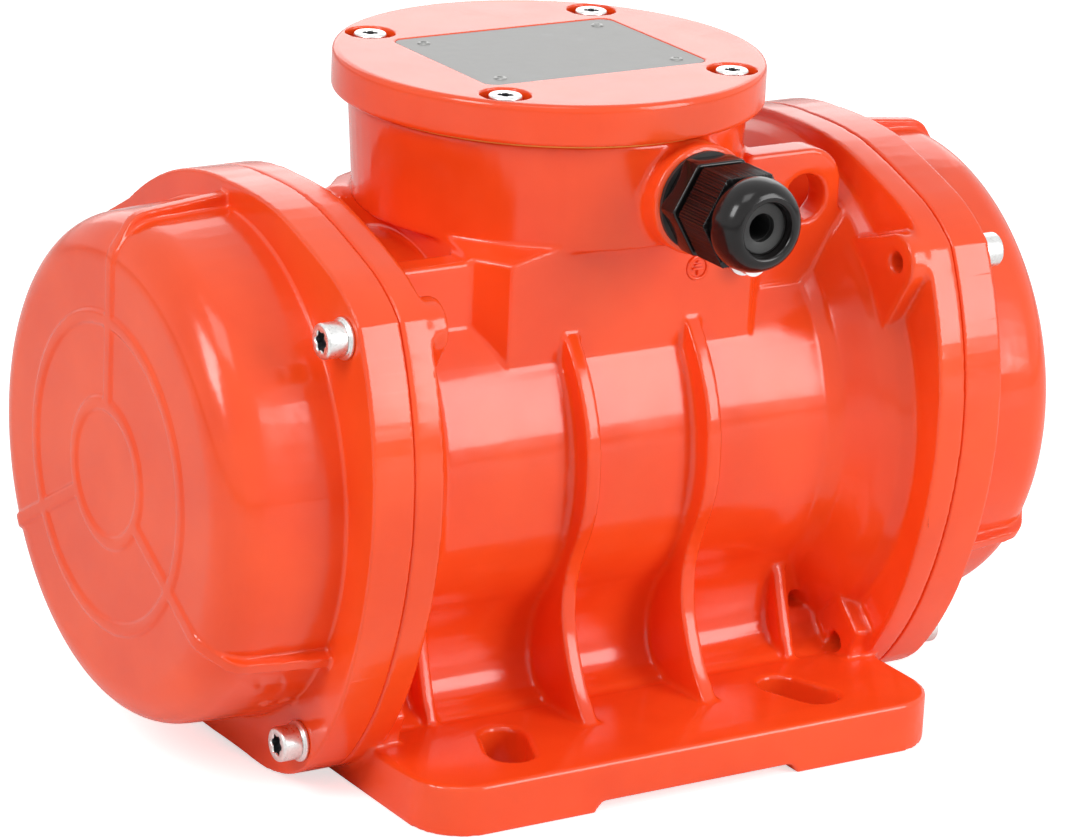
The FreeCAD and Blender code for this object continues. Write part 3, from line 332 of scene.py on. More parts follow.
class Palette:
    """Every finish of the motor, by the record's slot name."""

    def __init__(self) -> None:
        """Make each material once."""
        finishes = [
            Enamel("orange_paint"),
            Metal("zinc_steel", (0.72, 0.72, 0.71), (0.84, 0.84, 0.83), (0.26, 0.34), 1200.0, 0.00001),
            Metal("plate_aluminium", (0.20, 0.199, 0.195), (0.26, 0.258, 0.253), (0.42, 0.54), 160.0,
                  0.00002),
            Metal("rivet_aluminium", (0.22, 0.22, 0.215), (0.42, 0.42, 0.41), (0.35, 0.5), 700.0),
            Moulded("black_nylon", (0.0055, 0.0045, 0.0045), (0.010, 0.0085, 0.0085), (0.16, 0.22), 500.0,
                    0.00001, 0.36),
            Moulded("black_rubber", (0.016, 0.016, 0.016), (0.032, 0.032, 0.031), (0.45, 0.65), 900.0,
                    0.00006),
            Moulded("gasket", (0.78, 0.30, 0.03), (0.90, 0.42, 0.06), (0.5, 0.7), 700.0, 0.00008),
            Metal("grey_iron", (0.16, 0.16, 0.17), (0.26, 0.26, 0.27), (0.45, 0.65), 350.0, 0.0002),
            Metal("bearing_steel", (0.62, 0.62, 0.64), (0.74, 0.74, 0.76), (0.10, 0.20), 600.0, 0.00001,
                  Grain.ROUND_X),
            Metal("dark_steel", (0.10, 0.10, 0.11), (0.18, 0.18, 0.19), (0.30, 0.45)),
            Metal("machined_steel", (0.48, 0.48, 0.50), (0.64, 0.64, 0.66), (0.22, 0.36), 1200.0, 0.00003,
                  Grain.ROUND_X),
            Metal("weight_steel", (0.34, 0.33, 0.32), (0.50, 0.48, 0.46), (0.35, 0.55), 260.0, 0.0001),
            Layered("lamination"),
            Metal("cage_aluminium", (0.58, 0.58, 0.58), (0.72, 0.72, 0.72), (0.35, 0.5), 300.0, 0.0001),
            Layered("copper_winding", (0.22, 0.06, 0.02), (0.62, 0.24, 0.08), 0.9, (0.0, 1.0, 1.0), 0.8,
                    0.35),
            Moulded("terminal_resin", (0.20, 0.07, 0.04), (0.30, 0.11, 0.07), (0.4, 0.55)),
            Metal("brass", (0.62, 0.42, 0.15), (0.78, 0.56, 0.24), (0.22, 0.36)),
            Moulded("lead_insulation", (0.05, 0.12, 0.35), (0.08, 0.17, 0.45), (0.4, 0.5)),
        ]
        self.materials = {finish.name: finish.material() for finish in finishes}

    def dress(self, piece: bpy.types.Object, slot: str) -> None:
        """Give a piece one finish.

        Args:
            piece: Mesh object to dress.
            slot: Slot name of the finish.
        """
        if piece.material_slots:
            for held in piece.material_slots:
                held.link = "OBJECT"
                held.material = self.materials[slot]
        else:
            piece.data.materials.append(self.materials[slot])


# ---------------------------------------------------------------- building tools
SIXTH = math.pi / 3.0
LOBES = 6.0
LOBE_DEPTH = 0.14
CORNER_REACH = 1.14
RIBS_PER_FLAT = 17.0
RIB_DEPTH = 0.026
LEAST_RADIUS = 0.01
EDGE_STEPS = 4
PIECE_MERGE = 1e-6
NODE_MERGE = 2e-6


class Outline(Enum):
    """Outline of a ring of points about an upright line."""

    ROUND = "round"
    LOBED = "lobed"
    SIX_SIDED = "six_sided"
    RIBBED = "ribbed"

    def reach(self, radius: float, angle: float) -> float:
        """Distance of the outline from its middle.

        Args:
            radius: Radius of the ring, or half of the distance between flats.
            angle: Direction in radians.

        Returns:
            The distance, in the radius's unit.
        """
        if self is Outline.ROUND:
            return radius
        if self is Outline.LOBED:
            return radius * (1.0 + LOBE_DEPTH * math.cos(LOBES * angle))
        half = SIXTH / 2.0
        off = angle % SIXTH - half
        flat = min(radius / math.cos(off), CORNER_REACH * radius)
        if self is Outline.SIX_SIDED:
            return flat
        along = (math.tan(off) / (2.0 * math.tan(half)) + 0.5) * RIBS_PER_FLAT
        return flat - RIB_DEPTH * radius * (0.5 + 0.5 * math.cos(math.tau * along))


@dataclass(frozen=True)
class Ring:
    """One ring of points of a stacked skin, in millimetres."""

    height: float
    radius: float
    outline: Outline = Outline.ROUND

    def shape_verts(self, verts: list[bmesh.types.BMVert]) -> None:
        """Move points onto the ring, each in its own direction.

        Args:
            verts: Points about the upright line.
        """
        for vert in verts:
            angle = math.atan2(vert.co.y, vert.co.x)
            reach = max(self.outline.reach(self.radius, angle), LEAST_RADIUS) * MM
            vert.co = (reach * math.cos(angle), reach * math.sin(angle), self.height * MM)


def rings(points: Profile, height: float = 0.0, radius: float = 0.0,
          outline: Outline = Outline.ROUND) -> list[Ring]:
    """Rings through the points of a profile.

    Args:
        points: Height and radius of each ring, in the order in which the skin passes them.
        height: Height that is added to each.
        radius: Radius that is added to each.
        outline: Outline of the rings.

    Returns:
        The rings, in the same order.
    """
    return [Ring(height + up, radius + out, outline) for up, out in points]


def fan(sweep: float, steps: int) -> list[float]:
    """Angles spread evenly over a sweep, both of its ends among them.

    Args:
        sweep: Whole angle in degrees.
        steps: Number of steps.

    Returns:
        The angles in radians, from nought up.
    """
    return [math.radians(sweep / steps * step) for step in range(steps + 1)]


def quarter(height: float, radius: float, size: float, down: bool = False,
            outline: Outline = Outline.ROUND) -> list[Ring]:
    """Rings of a rounded outer edge.

    Args:
        height: Height of the face that the edge ends.
        radius: Radius of the wall that the edge ends.
        size: Radius of the rounding.
        down: True if the face is the upper one, with the wall under it.
        outline: Outline of the rings.

    Returns:
        The rings, from the face to the wall.
    """
    sign = -1.0 if down else 1.0
    return [Ring(height + sign * size * (1.0 - math.cos(turn)), radius - size * (1.0 - math.sin(turn)),
                 outline) for turn in fan(90.0, EDGE_STEPS)]


class Workshop:
    """Makes pieces from bmesh work and joins them to the motor."""

    def __init__(self, frame: dict, palette: Palette) -> None:
        """Keep the loaded frame and the finishes.

        Args:
            frame: What the frame loader returned.
            palette: Finishes by slot.
        """
        self.frame = frame
        self.palette = palette
        self.count = 0
        self.replaced: set[str] = set()

    def place(self, name: str, mesh: bpy.types.Mesh, slot: str, body: str,
              replaces: tuple[str, ...] = ()) -> bpy.types.Object:
        """Put a finished mesh into the scene.

        Args:
            name: Name of the piece.
            mesh: Finished mesh, in place.
            slot: Finish of the piece.
            body: Body that the piece moves with.
            replaces: CAD nodes that the piece stands for.

        Returns:
            The new object.
        """
        piece = bpy.data.objects.new(name, mesh)
        bpy.context.scene.collection.objects.link(piece)
        mesh.materials.clear()
        self.palette.dress(piece, slot)
        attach(piece, body)
        if replaces:
            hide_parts(*replaces)
            self.replaced.update(replaces)
        self.count += 1
        LOG.info("%s: %d faces on %s", name, len(mesh.polygons), body)
        return piece

    def add(self, name: str, work: bmesh.types.BMesh, slot: str, body: str,
            replaces: tuple[str, ...] = (), smooth_below: float = 40.0) -> bpy.types.Object:
        """Put finished bmesh work into the scene, with its edges shaded by angle.

        Args:
            name: Name of the piece and of its mesh.
            work: Bmesh, which is freed.
            slot: Finish of the piece.
            body: Body that the piece moves with.
            replaces: CAD nodes that the piece stands for.
            smooth_below: Angle in degrees under which an edge is shaded smooth.

        Returns:
            The new object.
        """
        bmesh.ops.remove_doubles(work, verts=work.verts, dist=PIECE_MERGE)
        bmesh.ops.recalc_face_normals(work, faces=work.faces)
        for face in work.faces:
            face.smooth = True
        soft = math.radians(smooth_below)
        for edge in work.edges:
            edge.smooth = len(edge.link_faces) == 2 and edge.calc_face_angle(0.0) < soft
        mesh = bpy.data.meshes.new(name)
        work.to_mesh(mesh)
        work.free()
        return self.place(name, mesh, slot, body, replaces)

    def copy_of(self, node: str) -> bmesh.types.BMesh:
        """Copy a CAD node with its loose triangles merged.

        Args:
            node: Name of the node.

        Returns:
            The merged copy.
        """
        work = bmesh.new()
        work.from_mesh(self.frame["nodes"][node].data)
        bmesh.ops.remove_doubles(work, verts=work.verts, dist=NODE_MERGE)
        return work

    @staticmethod
    def stacked(work: bmesh.types.BMesh, skin: list[Ring], place: Matrix, points: int = 48,
                hollow: bool = False) -> None:
        """Draw a skin over a stack of rings that share one upright line, each pulled out of the one before.

        Args:
            work: Bmesh that gets the skin.
            skin: Rings in the order in which the skin passes them.
            place: Placement of the upright line, in metres.
            points: Number of points round.
            hollow: True if the last ring joins the first, as in a washer; else both are capped.
        """
        made = bmesh.ops.create_circle(work, cap_ends=not hollow, segments=points, radius=MM)["verts"]
        held = set(made)
        edges = [edge for edge in work.edges if edge.verts[0] in held and edge.verts[1] in held]
        first = edges
        every = list(made)
        skin[0].shape_verts(made)
        for ring in skin[1:]:
            pulled = bmesh.ops.extrude_edge_only(work, edges=edges)["geom"]
            verts = [item for item in pulled if isinstance(item, bmesh.types.BMVert)]
            edges = [item for item in pulled if isinstance(item, bmesh.types.BMEdge)]
            ring.shape_verts(verts)
            every += verts
        if hollow:
            bmesh.ops.bridge_loops(work, edges=first + edges)
        else:
            bmesh.ops.edgeloop_fill(work, edges=edges)
        bmesh.ops.transform(work, matrix=place, verts=every)

    @staticmethod
    def modified(mesh: bpy.types.Mesh, kind: str, **settings: float | str | bool) -> bpy.types.Mesh:
        """Apply one modifier to a mesh.

        Args:
            mesh: Mesh to change.
            kind: Modifier type.
            **settings: Its settings.

        Returns:
            The new mesh; the old one is removed.
        """
        holder = bpy.data.objects.new("holder", mesh)
        bpy.context.scene.collection.objects.link(holder)
        modifier = holder.modifiers.new(kind, kind)
        for key, value in settings.items():
            setattr(modifier, key, value)
        graph = bpy.context.evaluated_depsgraph_get()
        result = bpy.data.meshes.new_from_object(holder.evaluated_get(graph))
        bpy.data.objects.remove(holder)
        bpy.data.meshes.remove(mesh)
        return result


# ---------------------------------------------------------------- castings
SMOOTHING = 0.5


@dataclass
class Casting:
    """A cast piece: the CAD form with its edges and corners run soft under thick paint."""

    node: str
    voxel: float
    rounds: int
    keep: int = 185000

    def add_forms(self, work: bmesh.types.BMesh) -> None:
        """Add closed forms that run into the casting; a plain one has none.

        Args:
            work: Bmesh that holds the CAD form.
        """

    def build(self, shop: Workshop, slot: str = "orange_paint") -> bpy.types.Object:
        """Make the piece in place of its CAD node.

        Args:
            shop: Workshop that places it.
            slot: Finish of the casting.

        Returns:
            The new object.
        """
        work = shop.copy_of(self.node)
        self.add_forms(work)
        mesh = bpy.data.meshes.new(self.node + "_cast")
        work.to_mesh(mesh)
        work.free()
        voxel = self.voxel * 1.0
        mesh = shop.modified(mesh, "REMESH", mode="VOXEL", voxel_size=voxel)
        work = bmesh.new()
        work.from_mesh(mesh)
        for _ in range(self.rounds):
            bmesh.ops.smooth_vert(work, verts=work.verts, factor=SMOOTHING, use_axis_x=True, use_axis_y=True,
                                  use_axis_z=True)
        work.to_mesh(mesh)
        triangles = sum(len(face.verts) - 2 for face in work.faces)
        work.free()
        if triangles > self.keep:
            mesh = shop.modified(mesh, "DECIMATE", ratio=self.keep / triangles)
        mesh.shade_smooth()
        mesh.name = self.node + "_cast"
        return shop.place(self.node + "_cast", mesh, slot, "housing", (self.node,))


@dataclass
class HousingCasting(Casting):
    """The housing, with the saddle carried on to both flanges and the ribs' roots filled."""

    saddle_start: float = 66.0
    saddle_end: float = 77.0
    pad_start: float = 76.6
    pad_end: float = 83.0
    front: Profile = (
        (-56.0, 12.0), (-50.5, 15.4), (-45.6, 17.4), (-42.2, 20.9), (-40.6, 25.6), (-40.2, 31.0),
        (-40.6, 36.0), (-42.2, 41.0), (-44.2, 46.2), (-41.5, 45.6), (-30.0, 36.2), (-15.0, 29.7),
        (0.0, 27.6))
    pad: Profile = (
        (-44.5, 12.0), (-44.5, 36.0), (-42.5, 44.3), (-30.0, 36.2), (-15.0, 29.7), (0.0, 27.6))
    rib_places: Profile = ((-20.3, 2.4), (20.3, 2.4))
    end_rib_places: Profile = ((-61.5, 1.7), (61.5, 1.7))
    rib_root: Profile = ((-55.5, 13.0), (-55.5, 21.5), (-47.5, 21.5), (-47.5, 13.0))
    end_rib_root: Profile = (
        (-53.2, 13.0), (-50.8, 18.0), (-49.7, 20.8), (-47.0, 21.0), (-47.0, 13.0))

    @staticmethod
    def block(work: bmesh.types.BMesh, loop: list[Pair], start: float, end: float) -> None:
        """Add a solid with one outline along the shaft's direction.

        Args:
            work: Bmesh that gets the solid.
            loop: Outline as (across, up) in millimetres.
            start: Where it starts along the shaft.
            end: Where it ends.
        """
        verts = [work.verts.new((start * MM, across * MM, up * MM)) for across, up in loop]
        face = bmesh.ops.contextual_create(work, geom=verts)["faces"][0]
        made = bmesh.ops.extrude_face_region(work, geom=[face], use_keep_orig=True)["geom"]
        ends = [item for item in made if isinstance(item, bmesh.types.BMVert)]
        bmesh.ops.translate(work, verts=ends, vec=((end - start) * MM, 0.0, 0.0))
        faces = {side for vert in verts + ends for side in vert.link_faces}
        bmesh.ops.recalc_face_normals(work, faces=list(faces))

    def add_forms(self, work: bmesh.types.BMesh) -> None:
        """Add the saddle's ends and the screw pads' inner parts, and fill the ribs' roots.

        Args:
            work: Bmesh that holds the CAD form.
        """
        for half, start, end in ((self.front, self.saddle_start, self.saddle_end),
                                 (self.pad, self.pad_start, self.pad_end)):
            loop = [*half, *((-across, up) for across, up in reversed(half[:-1]))]
            for side in Side:
                self.block(work, loop, side.sign * start, side.sign * end)
        for places, root in ((self.rib_places, self.rib_root), (self.end_rib_places, self.end_rib_root)):
            for middle, half in places:
                for face in (1.0, -1.0):
                    loop = [(face * across, up) for across, up in root]
                    self.block(work, loop, middle - half, middle + half)


# ---------------------------------------------------------------- screws and rivets
@dataclass
class SocketScrews:
    """Plated socket screws with a six-lobed recess, each on a flared washer, and a dark sheet of painted
    shade in each recess.

    A screw stands on its seat: heights count from there, and the profiles of edges from the face or wall
    that they belong to.
    """

    name: str
    seats: list[Triple]
    facing: Triple
    node: str
    washer_node: str
    shank_radius: float = 2.95
    shank_length: float = 17.0
    shank_tip: float = 0.5
    neck: float = 0.3
    washer_radius: float = 5.9
    washer_height: float = 1.6
    washer_play: float = 0.25
    washer_lift: float = 0.02
    washer_edge: float = 0.45
    washer_slope: float = 0.35
    washer_flare: Profile = ((-0.25, 0.25), (0.0, 0.02))
    head_radius: float = 5.0
    head_height: float = 6.0
    head_edge: float = 0.75
    head_foot: float = 0.5
    head_foot_edge: float = 0.3
    recess_radius: float = 2.75
    recess_depth: float = 3.2
    recess_cone: float = 0.5
    recess_taper: float = 0.97
    recess_mouth: Profile = ((-0.3, 0.0), (-0.05, 0.22))
    recess_brim: float = 0.55
    tip_radius: float = 0.1
    shade_sheet_drop: float = 0.4
    # Placement of the thin dark sheet of painted shade inside each recess.
    shade_sheet_floor: float = 0.52
    shade_sheet_gap: float = 0.01
    shade_sheet_wall: float = 0.09
    shade_sheet_foot: Triple = (0.65, 0.95, 0.1)
    shade_sheet_top: float = 0.62

    @property
    def top(self) -> float:
        """Height of the head's upper face."""
        return self.washer_height + self.head_height

    def head(self) -> list[Ring]:
        """Rings from the floor of the recess over the head and down the shank."""
        base, radius, shank = self.washer_height, self.head_radius, self.shank_radius
        floor = self.top - self.recess_depth
        return [Ring(floor, self.tip_radius),
                Ring(floor + self.recess_cone, self.recess_radius * self.recess_taper, Outline.LOBED),
                *rings(self.recess_mouth, self.top, self.recess_radius, Outline.LOBED),
                Ring(self.top, self.recess_radius + self.recess_brim),
                *quarter(self.top, radius, self.head_edge, True), Ring(base + self.head_foot, radius),
                *reversed(quarter(base, radius, self.head_foot_edge)), Ring(base, shank + self.neck),
                Ring(base - self.neck, shank), Ring(self.shank_tip - self.shank_length, shank),
                Ring(-self.shank_length, shank - self.shank_tip)]

    def washer(self) -> list[Ring]:
        """Rings round the section of the washer, flared from the head to its rim."""
        outer, height, bore = self.washer_radius, self.washer_height, self.shank_radius + self.washer_play
        return [Ring(self.washer_lift, bore), *quarter(self.washer_lift, outer, self.washer_edge),
                *reversed(quarter(height - self.washer_slope, outer, self.washer_edge, True)),
                *rings(self.washer_flare, height, self.head_radius), Ring(height, bore)]

    def socket(self) -> list[Ring]:
        """Rings of a thin dark sheet inside the recess: painted shade, not a part of the screw."""
        low, high = self.top - self.recess_depth, self.top - self.shade_sheet_drop
        radius, lobed = self.recess_radius, Outline.LOBED
        foot, share, inset = self.shade_sheet_foot
        return [Ring(low + self.shade_sheet_floor, self.tip_radius),
                Ring(low + self.shade_sheet_floor, radius * self.recess_taper - self.shade_sheet_gap, lobed),
                Ring(high, radius - self.shade_sheet_gap, lobed), Ring(high, radius - self.shade_sheet_wall, lobed),
                Ring(low + foot, radius * share - inset, lobed), Ring(low + self.shade_sheet_top, self.tip_radius)]

    def build(self, shop: Workshop) -> None:
        """Make the heads, shanks and washers in place of their CAD nodes, and a dark sheet of painted shade
        in each recess.

        Args:
            shop: Workshop that places the pieces.
        """
        turn = Vector(self.facing).to_track_quat("Z", "Y").to_matrix().to_4x4()
        heads, washers, painted_shade_sheets = bmesh.new(), bmesh.new(), bmesh.new()
        for seat in self.seats:
            place = Matrix.Translation(Vector(seat)) @ turn
            shop.stacked(painted_shade_sheets, self.socket(), place)
            shop.stacked(heads, self.head(), place)
            shop.stacked(washers, self.washer(), place, hollow=True)
        # Dark sheets of painted shade inside the recesses, in the dark steel finish.
        shop.add(self.name + "_painted_shade", painted_shade_sheets, "dark_steel", "housing")
        if not self.washer_node:
            both = bpy.data.meshes.new(self.name)
            washers.to_mesh(both)
            heads.from_mesh(both)
            bpy.data.meshes.remove(both)
        shop.add(self.name + "_heads", heads, "zinc_steel", "housing", (self.node,))
        if self.washer_node:
            shop.add(self.name + "_flared", washers, "zinc_steel", "housing", (self.washer_node,))
        else:
            washers.free()


@dataclass
class Rivets:
    """Four low dimpled rivets that hold the bare plate, with heights from the plate's face."""

    across: float = 29.5
    along: float = 21.3
    points: int = 32
    profile: Profile = (
        (0.12, 0.1), (0.12, 0.75), (0.34, 0.95), (0.4, 1.15), (0.33, 1.55), (0.16, 1.88), (0.01, 2.0),
        (0.01, 1.15), (-3.3, 1.15), (-3.3, 0.1))

    def build(self, shop: Workshop) -> None:
        """Make the rivets in place of their CAD node.

        Args:
            shop: Workshop that places them.
        """
        skin = rings(self.profile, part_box("nameplate")[1].z / MM)
        work = bmesh.new()
        for across in (-self.across, self.across):
            for along in (-self.along, self.along):
                shop.stacked(work, skin, Matrix.Translation((across * MM, along * MM, 0.0)), self.points)
        shop.add("nameplate_rivet_heads", work, "rivet_aluminium", "housing", ("nameplate_rivets",))


@dataclass
class Fasteners:
    """Every screw that shows: those of both end covers and of the terminal box lid."""

    top: Pair = (-69.2, 55.2)
    rear: Pair = (82.0, 33.2)
    low: Pair = (51.7, -67.5)
    axis_height: float = 85.0
    lid_circle: float = 53.4
    lid_recess: float = 5.4

    def build(self, shop: Workshop) -> None:
        """Make each group.

        Args:
            shop: Workshop that places the pieces.
        """
        spots = [self.top, self.rear, self.low, (-self.low[0], self.low[1])]
        for side in Side:
            inner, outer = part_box(side.value + "_cover_washers")
            seat = (outer if side is Side.LEFT else inner).x
            seats = [(seat, across * MM, (self.axis_height + up) * MM) for across, up in spots]
            facing = (float(side.sign), 0.0, 0.0)
            SocketScrews(side.value + "_cover", seats, facing, side.value + "_cover_screws",
                         side.value + "_cover_washers").build(shop)
        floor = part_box("terminal_box_lid")[1].z - self.lid_recess * MM
        reach = self.lid_circle * math.sqrt(0.5) * MM
        seats = [(across * reach, along * reach, floor) for across in (-1, 1) for along in (-1, 1)]
        SocketScrews("lid", seats, (0.0, 0.0, 1.0), "lid_screws", "", shank_radius=2.45, shank_length=18.0,
                     washer_radius=5.4, washer_height=1.2, head_radius=4.75, head_height=4.3,
                     recess_radius=2.4, recess_depth=3.0).build(shop)


# ---------------------------------------------------------------- cable gland
@dataclass
class Gland:
    """Black nylon cable gland: ribbed six-sided nut with a round nose, over a six-sided body.

    The body's threaded stem shows when the nut is off. Heights count outwards from the seat.
    """

    seat: Triple = (12.5, -63.9, 164.3)
    body_half: float = 13.25
    body_low: float = 1.2
    body_high: float = 8.2
    body_edge: float = 0.6
    body_bore: float = 8.8
    thread_gap: float = 0.5
    pitch: float = 1.5
    thread: Profile = ((0.0, 9.1), (0.4, 9.55), (0.8, 9.55), (1.2, 9.1))
    stem_low: Profile = ((-12.0, 6.6), (-12.0, 9.5), (-11.5, 9.96), (1.25, 9.96), (1.25, 9.1))
    stem_high: Profile = ((18.5, 9.0), (18.5, 7.8), (9.0, 7.8), (9.0, 6.6))
    nut_half: float = 12.9
    nut_low: float = 9.6
    nut_high: float = 22.2
    nut_bore: float = 9.65
    nut_low_edge: Profile = ((0.0, -0.5), (0.4, 0.0))
    nut_high_edge: Profile = ((-0.15, 0.0), (0.0, -0.2))
    nose_base: Profile = (
        (22.1, 7.8), (22.1, 12.0), (22.3, 12.2), (22.7, 12.65), (23.4, 13.08), (24.3, 13.38))
    nose_radius: float = 13.5
    nose_end: float = 33.0
    dome_low: float = 25.4
    dome_inner: float = 8.9
    dome_steps: int = 10
    dish: Profile = (
        (32.9, 8.4), (32.6, 8.05), (32.0, 7.85), (29.6, 7.6), (29.4, 7.4), (29.4, 5.6), (28.6, 5.6),
        (28.6, 7.8))
    slip_ring: Profile = (
        (27.6, 4.1), (27.6, 7.7), (28.55, 7.7), (28.55, 5.5), (29.45, 5.5), (29.45, 7.3), (29.8, 7.1),
        (29.6, 5.0), (29.3, 4.1))
    nut_points: int = 612
    round_points: int = 96
    ring_points: int = 72
    smooth_below: float = 35.0

    def nose(self) -> list[Ring]:
        """Rings of the round nose and its dish."""
        length, width = self.nose_end - self.dome_low, self.nose_radius - self.dome_inner
        dome = [Ring(self.dome_low + length * math.sin(turn), self.dome_inner + width * math.cos(turn))
                for turn in fan(90.0, self.dome_steps)]
        return [*rings(self.nose_base), *dome, *rings(self.dish)]

    def nut(self) -> list[Ring]:
        """Rings of the ribbed part."""
        return [Ring(self.nut_low, self.nut_bore),
                *rings(self.nut_low_edge, self.nut_low, self.nut_half, Outline.RIBBED),
                *rings(self.nut_high_edge, self.nut_high, self.nut_half, Outline.RIBBED),
                Ring(self.nut_high, self.nut_bore)]

    def body(self) -> list[Ring]:
        """Rings of the six-sided body."""
        six = Outline.SIX_SIDED
        return [Ring(self.body_low, self.body_bore),
                *quarter(self.body_low, self.body_half, self.body_edge, outline=six),
                *reversed(quarter(self.body_high, self.body_half, self.body_edge, True, six)),
                Ring(self.body_high, self.body_bore)]

    def stem(self) -> list[Ring]:
        """Rings of the threaded stem, with its crests a pitch apart."""
        crests = []
        height = self.body_high + self.thread_gap
        while height < self.stem_high[0][0] - self.thread[-1][0]:
            crests += rings(self.thread, height)
            height += self.pitch
        return [*rings(self.stem_low), *crests, *rings(self.stem_high)]

    def build(self, shop: Workshop) -> None:
        """Make the nut, the slip ring and the body in place of their CAD nodes.

        The slip ring snaps over the nut's inner lip and faces the dish.

        Args:
            shop: Workshop that places the pieces.
        """
        out = Matrix.Translation(Vector(self.seat) * MM) @ Matrix.Rotation(math.radians(90.0), 4, "X")
        nut = ((self.nut(), self.nut_points), (self.nose(), self.round_points))
        ring = ((rings(self.slip_ring), self.ring_points),)
        body = ((self.body(), self.round_points), (self.stem(), self.ring_points))
        for name, skins, slot, moves_with, node in (
                ("gland_nut_ribbed", nut, "black_nylon", "gland_nut", "gland_nut"),
                ("gland_slip_ring_snap", ring, "black_rubber", "gland_ring", "gland_slip_ring"),
                ("gland_body_threaded", body, "black_nylon", "housing", "gland_body")):
            work = bmesh.new()
            for skin, points in skins:
                shop.stacked(work, skin, out, points, True)
            shop.add(name, work, slot, moves_with, (node,), self.smooth_below)


@dataclass
class EarthSign:
    """Raised ring with the earth sign's stem and three bars, cast on the front of the pedestal.

    A bar is its middle across, its middle up, its width and its height.
    """

    middle: Triple = (21.4, -50.0, 139.9)
    radius: float = 3.3
    bead: float = 0.55
    bead_lift: float = 0.05
    bead_points: int = 8
    points: int = 40
    bar_depth: float = 1.7
    bar_edge: float = 0.18
    bars: tuple[tuple[float, float, float, float], ...] = (
        (0.0, -1.2, 0.55, 2.0), (0.0, -0.2, 3.8, 0.6), (0.0, 0.85, 2.5, 0.6), (0.0, 1.85, 1.2, 0.6))
    smooth_below: float = 50.0

    def build(self, shop: Workshop) -> None:
        """Make the sign.

        Args:
            shop: Workshop that places it.
        """
        out = Matrix.Translation(Vector(self.middle) * MM) @ Matrix.Rotation(math.radians(90.0), 4, "X")
        work = bmesh.new()
        skin = [Ring(self.bead_lift + self.bead * math.sin(turn), self.radius + self.bead * math.cos(turn))
                for turn in fan(360.0, self.bead_points)[:-1]]
        shop.stacked(work, skin, out, self.points, True)
        for across, up, width, height in self.bars:
            shape = Matrix.Diagonal((width * MM, height * MM, self.bar_depth * MM, 1.0))
            place = Matrix.Translation((across * MM, up * MM, 0.0)) @ shape
            box = bmesh.ops.create_cube(work, size=1.0, matrix=place)["verts"]
            edges = list({edge for vert in box for edge in vert.link_edges})
            made = bmesh.ops.bevel(work, geom=edges, offset=self.bar_edge * MM, segments=2, profile=0.5,
                                   affect="EDGES", material=-1)
            verts = {vert for face in made["faces"] for vert in face.verts}
            bmesh.ops.transform(work, matrix=out, verts=list(verts))
        shop.add("earth_sign", work, "orange_paint", "housing", smooth_below=self.smooth_below)


# ---------------------------------------------------------------- the whole motor
@dataclass
class Motor:
    """The whole motor: its castings, its loose hardware and the nodes kept as they are."""

    castings: list[Casting] = field(default_factory=lambda: [
        HousingCasting("housing", 0.78 * MM, 3),
        Casting("left_end_cover", 0.52 * MM, 1),
        Casting("right_end_cover", 0.52 * MM, 1),
        Casting("terminal_box_lid", 0.5 * MM, 2),
    ])

    def build(self, shop: Workshop) -> None:
        """Build every piece and dress every node that stays.

        Args:
            shop: Workshop that places the pieces.
        """
        for part in (*self.castings, Fasteners(), Rivets(), Gland(), EarthSign()):
            part.build(shop)
        slots = {row["node"]: row["material_slot"] for row in shop.frame["record"]["subparts"]}
        for name, node in shop.frame["nodes"].items():
            if name not in shop.replaced:
                shop.palette.dress(node, slots[name])


# ---------------------------------------------------------------- studio
@dataclass(frozen=True)
class Lamp:
    """One soft box that faces the motor, with its sizes in metres and its power in watts."""

    name: str
    place: Triple
    width: float
    length: float
    power: float
    aim: Triple = (0.0, 0.0, 0.09)

    def build(self) -> None:
        """Add the lamp."""
        data = bpy.data.lights.new(self.name, "AREA")
        data.shape = "RECTANGLE"
        data.size = self.width
        data.size_y = self.length
        data.energy = self.power
        lamp = bpy.data.objects.new(self.name, data)
        bpy.context.scene.collection.objects.link(lamp)
        turn = (Vector(self.aim) - Vector(self.place)).to_track_quat("-Z", "Y")
        lamp.matrix_world = Matrix.Translation(self.place) @ turn.to_matrix().to_4x4()


